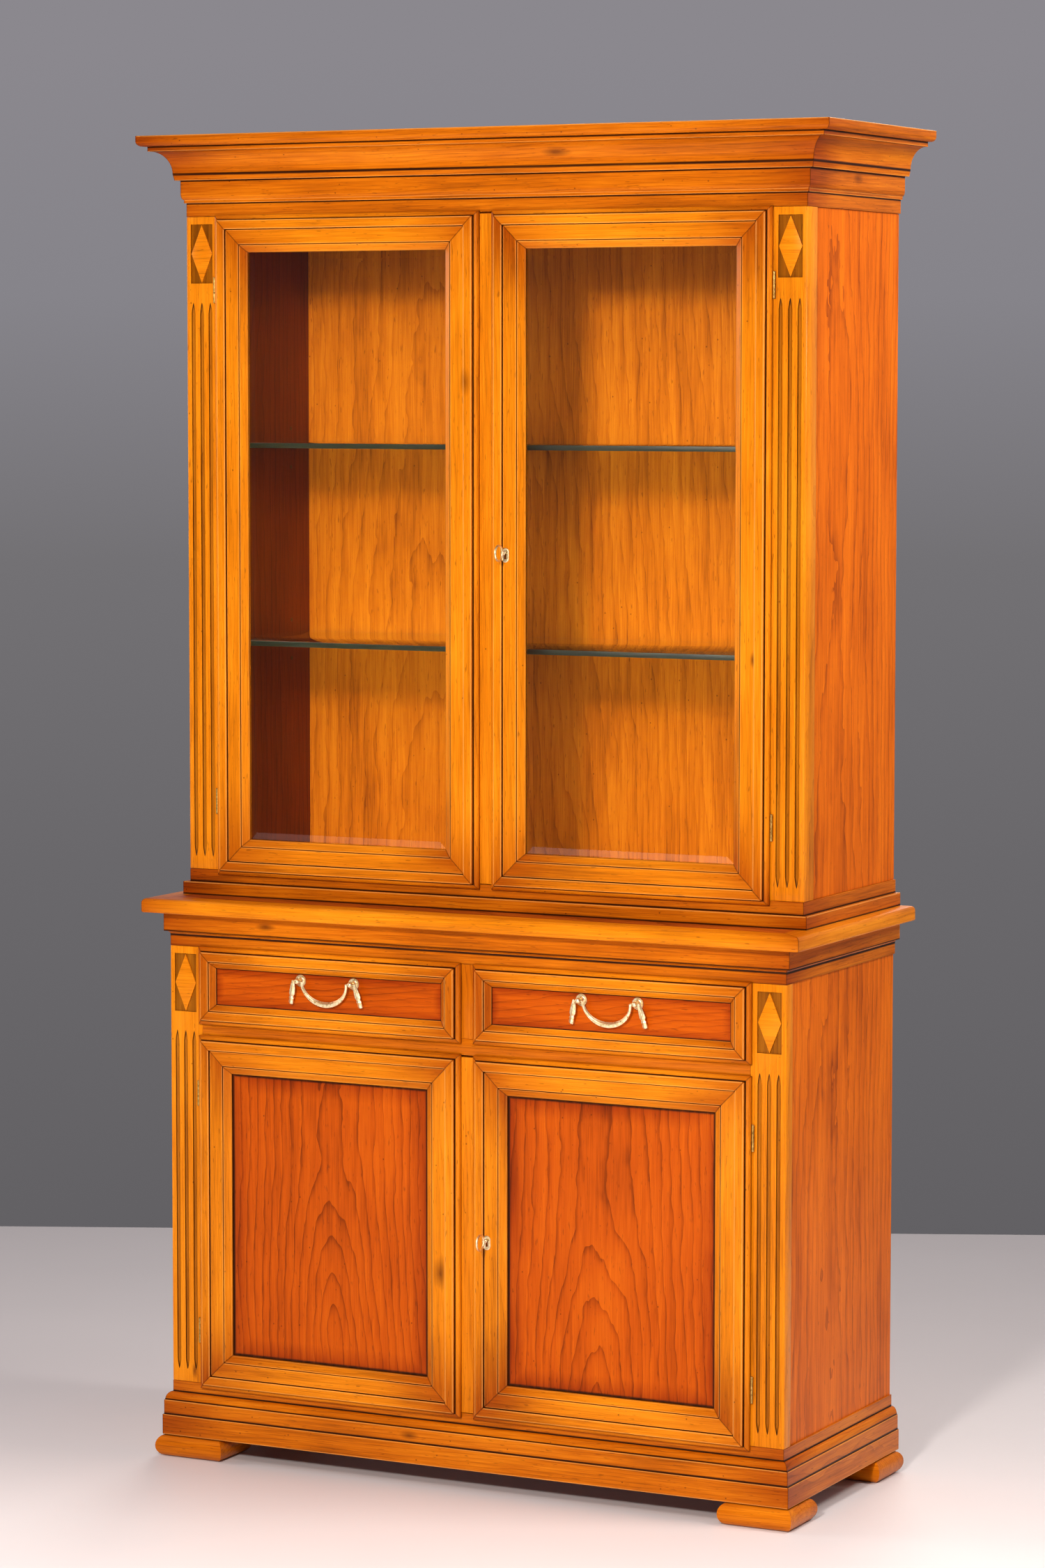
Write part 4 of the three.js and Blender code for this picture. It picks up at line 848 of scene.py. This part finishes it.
BARREL_RADIUS, BARREL_END, BARREL_GROOVE = 2.2, 1.9, 1.75
KNUCKLES = 3
LEAF = 0.8  # thickness of leaf and plate
HINGE_SCREW = [(0, -0.1), (2.4, -0.1), (2.2, 0.25), (1.2, 0.5), (0, 0.55)]
for tier, face in (("upper", upper_face), ("lower", lower_face)):
    for label, side in BODY_SIDES:
        for end in ("bottom", "top"):
            node = f"{tier}_hinge_{label}_{end}"
            low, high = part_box(node)
            outer_x, inner_x = (high.x, low.x) if side > 0 else (low.x, high.x)
            hub = Vector((outer_x - side * BARREL_RADIUS * mm, low.y + BARREL_RADIUS * mm, low.z))
            length = (high.z - low.z) / mm
            profile = [(0, 0), (1.2, 0), (BARREL_END, 0.3)]
            for knuckle in range(KNUCKLES):
                start = 0.3 + knuckle * (length - 0.6) / KNUCKLES
                stop = start + (length - 0.6) / KNUCKLES
                profile += [(BARREL_RADIUS, start + 0.3), (BARREL_RADIUS, stop - 0.3)]
                if knuckle < KNUCKLES - 1:
                    profile += [(BARREL_GROOVE, stop - 0.15), (BARREL_GROOVE, stop + 0.15)]
            profile += [(BARREL_END, length - 0.3), (1.2, length), (0, length)]
            barrel = turned(f"{node}_barrel", profile, hub, Z, 20)
            finish_with(barrel, dull_brass, "root", "antique_brass", node)

            leaf_y = hub.y + 2 * mm
            start, stop = sorted((inner_x, inner_x + side * LEAF * mm))
            leaf = board(f"{node}_leaf", (start, leaf_y, low.z), (stop, high.y, high.z), 0.15)
            finish_with(leaf, dull_brass, "root", "antique_brass")
            for number, share in enumerate((0.2, 0.8)):
                spot = Vector((inner_x - side * 0.05 * mm, (leaf_y + high.y) / 2 + 4 * mm,
                               low.z + share * (high.z - low.z)))
                screw = turned(f"{node}_screw_{number}", HINGE_SCREW, spot, X * -side, 16)
                finish_with(screw, dull_brass, "root", "antique_brass")
            start, stop = sorted((inner_x, hub.x))
            plate = board(f"{node}_wrap", (start, face - 0.3 * mm - LEAF * mm, low.z),
                          (stop, face - 0.3 * mm, high.z), 0.15)
            finish_with(plate, dull_brass, "root", "antique_brass")


# --- Shelf sleeves ------------------------------------------------------------
# Spare places for the shelf pins, one 32 mm above and one 32 mm below each pin:
# small brass sleeves pressed into holes drilled in the upper sides.

SLEEVE_OUTLINE = [(0, 0.05), (2.2, 0.05), (2.4, 0.5), (3.1, 0.4), (3.2, -0.1), (0, -0.1)]
SLEEVE_STEP = 32 * mm
PIN_EDGE, PIN_RADIUS = 60 * mm, 3 * mm  # from a side board's front and back edges
SHELF_FRONT, SHELF_BACK, SHELF_SIDE = 4 * mm, 6 * mm, 1 * mm  # clearances round a glass shelf
for shelf in ("bottom", "top"):
    low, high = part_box(f"glass_shelf_{shelf}")
    pin_z = low.z - PIN_RADIUS - GAP
    for label, side in BODY_SIDES:
        for end, y in (("front", low.y - SHELF_FRONT + PIN_EDGE),
                       ("back", high.y + SHELF_BACK - PIN_EDGE)):
            for place, rise in (("below", -SLEEVE_STEP), ("above", SLEEVE_STEP)):
                hub = Vector((side * (high.x + SHELF_SIDE), y, pin_z + rise))
                sleeve = turned(f"{shelf}_sleeve_{label}_{end}_{place}", SLEEVE_OUTLINE, hub,
                                X * -side, 16)
                # the whole sleeve takes the dark tarnish colour: tarnish, and painted shade for a
                # bore it does not have
                paint(sleeve, "glaze", lambda co: 1.0)
                finish_with(sleeve, dull_brass, "root", "antique_brass")


# --- Locks --------------------------------------------------------------------
# Each right door has a small steel lock screwed on behind, a cast oval
# escutcheon with a rolled rim, and a key with a round ring bow.

BAND_HEIGHT = 12.5 * mm
BOW_RADIUS, BOW_WIRE = 12, 1.7
PLATE_RADIUS, PLATE_STRETCH, PLATE_DROP = 6.4, 5, 3.8  # two half circles drawn apart
PLATE_RIM = ((0.5, 0.7), (0.7, 0.2), (0.8, -0.5), (0.3, -0.1))  # steps in, and out
SHAFT = [(0, 11), (2.2, 11.2), (2.9, 12.6), (2.3, 13.8), (2.2, 14.8), (3.0, 15.2), (3.4, 16),
         (3.0, 16.8), (2.3, 17.3), (2.1, 19)]
BIT_WIDTH, BIT_LENGTH, BIT_DROP = 3 * mm, 4 * mm, 7.5 * mm

for tier, face in (("upper", upper_face), ("lower", lower_face)):
    refinish(f"{tier}_lock_case", steel)
    refinish(f"{tier}_bolt", brass)
    low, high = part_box(f"{tier}_key")
    hub = Vector(((low.x + high.x) / 2, low.y + (BOW_RADIUS + BOW_WIRE) * mm,
                  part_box(f"{tier}_bolt")[0].z + KEY_ABOVE_BOLT))

    plate_y = face - BAND_HEIGHT
    outline = []
    for i in range(28):
        turn = math.tau * (i + 0.5) / 28
        rise = PLATE_RADIUS * math.sin(turn)
        rise += math.copysign(PLATE_STRETCH, rise) - PLATE_DROP
        outline.append((hub.x + PLATE_RADIUS * math.cos(turn) * mm, plate_y, hub.z + rise * mm))
    plate = outline_face(f"{tier}_escutcheon", outline)
    bpy.ops.mesh.extrude_region_move(TRANSFORM_OT_translate={"value": (0, -0.8 * mm, 0)})
    for inward, forward in PLATE_RIM:
        bpy.ops.mesh.inset(thickness=inward * mm)
        bpy.ops.transform.translate(value=(0, -forward * mm, 0))
    bpy.ops.mesh.select_all(action="SELECT")
    bpy.ops.mesh.normals_make_consistent(inside=False)
    bpy.ops.object.mode_set(mode="OBJECT")
    carve(plate, keyhole_tools(tier, (plate_y - 5 * mm, plate_y + 1 * mm)))
    smooth(plate, 35)
    finish_with(plate, brass, f"{tier}_door_right", "antique_brass")

    # the key: a ring bow, a turned shaft with a collar, and a flat bit
    key = f"{tier}_key"
    start_clean()
    bpy.ops.mesh.primitive_torus_add(
        location=hub, rotation=(0, math.pi / 2, 0), major_segments=48, minor_segments=12,
        major_radius=BOW_RADIUS * mm, minor_radius=BOW_WIRE * mm)
    bow = bpy.context.object
    bow.name = bow.data.name = f"{key}_bow"
    bpy.ops.object.transform_apply(location=True, rotation=True, scale=True)
    smooth(bow)
    finish_with(bow, brass, key, "antique_brass", key)
    reach = (high.y - hub.y) / mm
    shaft = turned(f"{key}_shaft", SHAFT + [(2.1, reach - 0.4), (1.7, reach), (0, reach)],
                   hub, Y, 24)
    finish_with(shaft, brass, key, "antique_brass")
    bit = board(f"{key}_bit", (hub.x - BIT_WIDTH / 2, high.y - BIT_LENGTH, hub.z - BIT_DROP),
                (hub.x + BIT_WIDTH / 2, high.y, hub.z), 0.3)
    finish_with(bit, brass, key, "antique_brass")


# --- Drawers ------------------------------------------------------------------
# Solid fronts with the same lip and fillet round a sunk veneered field, on
# dovetailed boxes of pale hardwood.

FIELD_INSET = 33.5
DRAWER_OUTLINE = [
    (9, -6.5, 0, 0), (9, 1.4, 0, 0), *LIP, (22.9, 14.2, 0, 0.7), (24.6, 14.4, 0.7, 0),
    (33, 6.6, 0.5, 0), (FIELD_INSET, 5.2, 0, 0.9), (FIELD_INSET, -6.5, 0, 0),
]
FIELD_EDGE, FIELD_RIM = 1.6, 13  # glaze and darker stain round a field
WALL, BOTTOM = 12 * mm, 6 * mm
# raw beech, pale and nearly matt
drawer_wood = {
    axis: lacquered_wood(f"beech_drawer_{axis}", axis, ("#dcb57c", "#cba163", "#a0743e"), 6,
                         (60, 60), (2, 1), 0.5, roughness=0.5, flecks=0.5)
    for axis in ("x", "y")
}

for label, side in BODY_SIDES:
    drawer = f"drawer_{label}"
    node = f"drawer_front_{label}"
    low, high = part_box(node)
    members(drawer, DRAWER_OUTLINE, low, high, lower_face, drawer, node)
    rim = Vector((FIELD_INSET, 0, FIELD_INSET)) * mm
    low, high = low + rim, high - rim
    field = board(f"{drawer}_field", (low.x, lower_face - 5.5 * mm, low.z),
                  (high.x, lower_face + 6.5 * mm, high.z), 0.2)
    pick_front(field)
    for step in (FIELD_EDGE, FIELD_RIM):
        bpy.ops.mesh.inset(thickness=step * mm)
    bpy.ops.object.mode_set(mode="OBJECT")
    depth = depth_inside(low, high)
    paint(field, "glaze", lambda co: 0.9 if depth(co) < 1 else 0.0)
    paint(field, "shade", lambda co: max(0.0, 0.9 * (1 - depth(co) / 14)))
    finish_with(field, lying_veneer, drawer, "cherry_veneer")

    # the box: two sides dovetailed to front and back, and a thin bottom
    low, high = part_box(f"drawer_box_{label}")
    left, right, near, far = low.x + WALL, high.x - WALL, low.y + WALL, high.y - WALL
    for part, start, end, grain in (
            ("side_a", low, (left, high.y, high.z), "y"),
            ("side_b", (right, low.y, low.z), high, "y"),
            ("front", (left, low.y, low.z), (right, near, high.z), "x"),
            ("back", (left, far, low.z), (right, high.y, high.z), "x"),
            ("bottom", (left, near, low.z), (right, far, low.z + BOTTOM), "y")):
        one = board(f"{drawer}_box_{part}", start, end, 0.5)
        finish_with(one, drawer_wood[grain], drawer, "drawer_wood", f"drawer_box_{label}")


# --- Pulls --------------------------------------------------------------------
# Cast brass swags that hang between two turned posts on dished rosettes, with a
# pleated tassel knotted outside each post. The swag swings up on its pins.

HEAD = 4.6  # radius of a post's ball
ROSETTE = [
    (0, 0), (9.3, 0), (9.6, 0.4), (9.6, 1.2), (9.2, 1.8), (8.5, 1.9), (7.9, 1.3), (6.4, 1.1),
    (5.2, 1.6), (4.2, 3.0), (3.3, 4.4), (2.9, 6.0), (2.8, 8.2),
]
PIN_START, SWAG_SHORT = 7.2, 7.4  # from a post's middle to its pin, and to the swag's end
PIN = 1.5
DROP, LEAN = 36, 0.22  # how far a swag hangs, and stands out for each mm of that
SWAG_RIBS, SWAG_STEPS = 5, 32
TASSEL_SPREAD, TASSEL_TWIST, TASSEL_PLEATS = 8, 0.7, 6
TASSEL = (  # share of the length, half width, half depth
    (-0.05, 1.2, 1.0), (-0.02, 2.3, 2.0), (0.06, 2.6, 2.4), (0.2, 3.8, 2.9), (0.4, 5.2, 3.3),
    (0.55, 5.8, 3.6), (0.6, 4.9, 3.2), (0.64, 3.8, 2.9), (0.69, 3.6, 2.8), (0.73, 4.6, 3.5),
    (0.77, 5.1, 3.6), (0.8, 4.0, 2.9), (0.88, 4.8, 3.3), (0.96, 5.4, 3.6), (1.0, 5.0, 3.2))


def pleated(ribs, depth, points):
    """A round section with this many ribs."""
    turns = [math.tau * i / points for i in range(points)]
    return [((1 + depth * math.cos(ribs * t)) * math.cos(t),
             (1 + depth * math.cos(ribs * t)) * math.sin(t)) for t in turns]


def facing(place, across, deep, ahead):
    """A station at a place, with its own three ways."""
    return Matrix.Translation(place) @ Matrix((across, deep, ahead)).transposed().to_4x4()


for label, side in BODY_SIDES:
    pull = f"{label}_pull"
    posts = [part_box(f"{pull}_post_{end}") for end in "ab"]
    hubs = [Vector(((low.x + high.x) / 2, low.y + HEAD * mm, (low.z + high.z) / 2))
            for low, high in posts]
    back = posts[0][1].y
    stand = (back - hubs[0].y) / mm
    ball = [(HEAD * math.cos(math.radians(t)), stand + HEAD * math.sin(math.radians(t)))
            for t in range(-48, 84, 12)]
    for end, hub in zip("ab", hubs):
        post = turned(f"{pull}_rosette_{end}", [*ROSETTE, *ball, (0, stand + HEAD)],
                      Vector((hub.x, back, hub.z)), -Y, 40)
        carve(post, [cutter("pin_hole", [(a * 2 * mm, b * 2 * mm) for a, b in circle], [
            Matrix.Translation(hub + X * d) @ Matrix.Rotation(math.radians(90), 4, "Y")
            for d in (-0.01, 0.01)])])
        smooth(post, 40)
        finish_with(post, brass, f"drawer_{label}", "antique_brass", f"{pull}_post_{end}")

    centre = (hubs[0] + hubs[1]) / 2
    half_span = (hubs[1].x - hubs[0].x) / mm / 2 - SWAG_SHORT
    stations = []
    for i in range(SWAG_STEPS + 1):
        turn = math.pi * (1 + i / SWAG_STEPS)
        across, rise = half_span * math.cos(turn), DROP * math.sin(turn)
        thick = 2.1 + 2.3 * (rise / DROP) ** 2
        ahead = Vector((-half_span * math.sin(turn), 0, DROP * math.cos(turn)))
        ahead.y = LEAN * -ahead.z
        ahead.normalize()
        out = ahead.cross(Y).normalized()
        place = centre + Vector((across, -LEAN * rise, rise)) * mm
        stations.append(facing(place, out, ahead.cross(out), ahead)
                        @ Matrix.Diagonal((thick * mm, thick * 0.8 * mm, 1, 1)))
    swag = swept(f"{pull}_swag_bail", pleated(SWAG_RIBS, 0.13, 30), stations)
    smooth(swag, 50)
    finish_with(swag, brass, pull, "antique_brass", f"{pull}_swag")

    for end, hub, way in (("a", hubs[0], -1), ("b", hubs[1], 1)):
        start, stop = sorted((centre.x + way * half_span * mm, hub.x + way * PIN_START * mm))
        length = (stop - start) / mm
        pin = turned(f"{pull}_pin_{end}", [(0, 0), (PIN, 0), (PIN, length), (0, length)],
                     Vector((start, hub.y, hub.z)), X, 20)
        finish_with(pin, brass, pull, "antique_brass")
        # a drape that narrows at its knot and falls in pleats below it
        along = Vector((way * TASSEL_SPREAD, LEAN * DROP, -DROP)).normalized()
        side_way = Vector((1, 0, way * TASSEL_SPREAD / DROP)).normalized()
        stations = []
        for share, across, deep in TASSEL:
            place = hub + Vector((way * (PIN_START + share * TASSEL_SPREAD),
                                  LEAN * share * DROP, -share * DROP)) * mm
            stations.append(facing(place, side_way, along.cross(side_way), along)
                            @ Matrix.Rotation(share * TASSEL_TWIST, 4, "Z")
                            @ Matrix.Diagonal((across * mm, deep * mm, 1, 1)))
        tassel = swept(f"{pull}_tassel_{end}", pleated(TASSEL_PLEATS, 0.1, 36), stations)
        smooth(tassel, 40)
        finish_with(tassel, brass, pull, "antique_brass")


# --- The room -----------------------------------------------------------------
# A pale studio floor that ends in a grey distance, soft lamps in front, beside
# and behind, and a camera to the right of the cabinet.

bpy.context.scene.view_settings.view_transform = "Standard"
CAMERA_TURN, CAMERA_DOWN, CAMERA_ROLL = 0.46853, 0.08798, -0.0006
camera_data = bpy.data.cameras.new("camera")
camera = bpy.data.objects.new("camera", camera_data)
bpy.context.scene.collection.objects.link(camera)
camera.location = (3.2792, -6.4829, 1.7432)
camera.rotation_euler = (math.pi / 2 - CAMERA_DOWN, CAMERA_ROLL, CAMERA_TURN)
camera_data.lens = 105.25
camera_data.sensor_width = 36
bpy.context.scene.camera = camera

# the floor's corners lie beside and ahead of the cabinet's middle
start_clean()
bpy.ops.mesh.primitive_plane_add(size=1, location=(0, 0, 0))
floor = bpy.context.object
floor.name = "studio_floor"
ahead = Vector((-math.sin(CAMERA_TURN), math.cos(CAMERA_TURN), 0))
beside = Vector((ahead.y, -ahead.x, 0))
FLOOR_CORNERS = ((-5.6, -12), (7, -12), (-5.6, 2.28), (7, 1.75))
for vertex, (a, b) in zip(floor.data.vertices, FLOOR_CORNERS):
    vertex.co = beside * a + ahead * b
# matt paint, worn in clouds a third of a metre wide, with a painted falloff
# of light: pale near the cabinet and greyer further ahead
floor_paint, tree = blank("studio_floor_paint")
where = add(tree, "TexCoord").outputs["Object"]
worn = add(tree, "TexNoise", {"Vector": where, "Scale": 3.0, "Detail": 5.0})
# greyer along the camera's way ahead: painted falloff of the lamps' light
depth = add(tree, "VectorMath", {0: where, 1: ahead}, operation="DOT_PRODUCT").outputs["Value"]
depth = add(tree, "MapRange", {"Value": depth, "From Min": -1.6, "From Max": 2.2})
depth = add(tree, "Math", {0: worn, 1: 0.08, 2: depth}, operation="MULTIPLY_ADD")
grey = add(tree, "ValToRGB", {0: depth}, [
    (0.04, "#f6f8fd"), (0.42, "#dcdce2"), (0.65, "#c8c8ce"), (1.0, "#b4b4ba")])
shader = add(tree, "BsdfPrincipled", {"Base Color": grey, "Roughness": 0.5})
add(tree, "OutputMaterial", {0: shader})
floor.data.materials.append(floor_paint)

# grey all round, paler overhead, and dim behind the camera, so that the glass stays clear
world = bpy.data.worlds.new("studio")
bpy.context.scene.world = world
world.use_nodes = True
tree = world.node_tree
ways = add(tree, "SeparateXYZ", {0: add(tree, "TexCoord").outputs["Generated"]})
height = add(tree, "MapRange", {"Value": ways.outputs["Z"], "From Min": -0.19, "From Max": 0.07})
dim = add(tree, "MapRange", {
    "Value": ways.outputs["Y"], "From Min": -0.85, "From Max": -0.35, "To Min": 0.3, "To Max": 1.0})
backdrop = add(tree, "ValToRGB", {0: height}, [
    (0.0, "#626063"), (0.33, "#6a686b"), (0.58, "#737174"), (0.8, "#86848a"), (1.0, "#8b888e")])
for name, source in (("Color", backdrop), ("Strength", dim)):
    tree.links.new(source.outputs[0], tree.nodes["Background"].inputs[name])


def lamp(name, place, target, size, power, spread=180):
    """A soft warm lamp that faces a point, with its beam's width in degrees."""
    data = bpy.data.lights.new(name, "AREA")
    data.shape, data.size, data.size_y, data.energy = "RECTANGLE", size[0], size[1], power
    data.color = linear("#fff1e4")[:3]
    data.spread = math.radians(spread)
    made = bpy.data.objects.new(name, data)
    bpy.context.scene.collection.objects.link(made)
    made.location = place
    made.rotation_euler = (Vector(target) - Vector(place)).to_track_quat("-Z", "Y").to_euler()


lamp("front_lamp", (1.0, -5.0, 2.9), (0, 0, 1.3), (0.5, 0.5), 222)
lamp("right_lamp", (2.6, 0.3, 3.1), (0.5, 0, 1.8), (1.0, 1.0), 72)
lamp("left_lamp", (-4.6, -1.2, 2.6), (0, 0, 1.0), (1.6, 1.8), 60)
lamp("back_lamp", (-1.2, 4.6, 3.8), (0, 0, 1.0), (2.0, 1.4), 90)
lamp("floor_lamp", (1.4, -4.2, 4.2), (1.4, -4.2, 0), (2.6, 2.2), 185, spread=100)
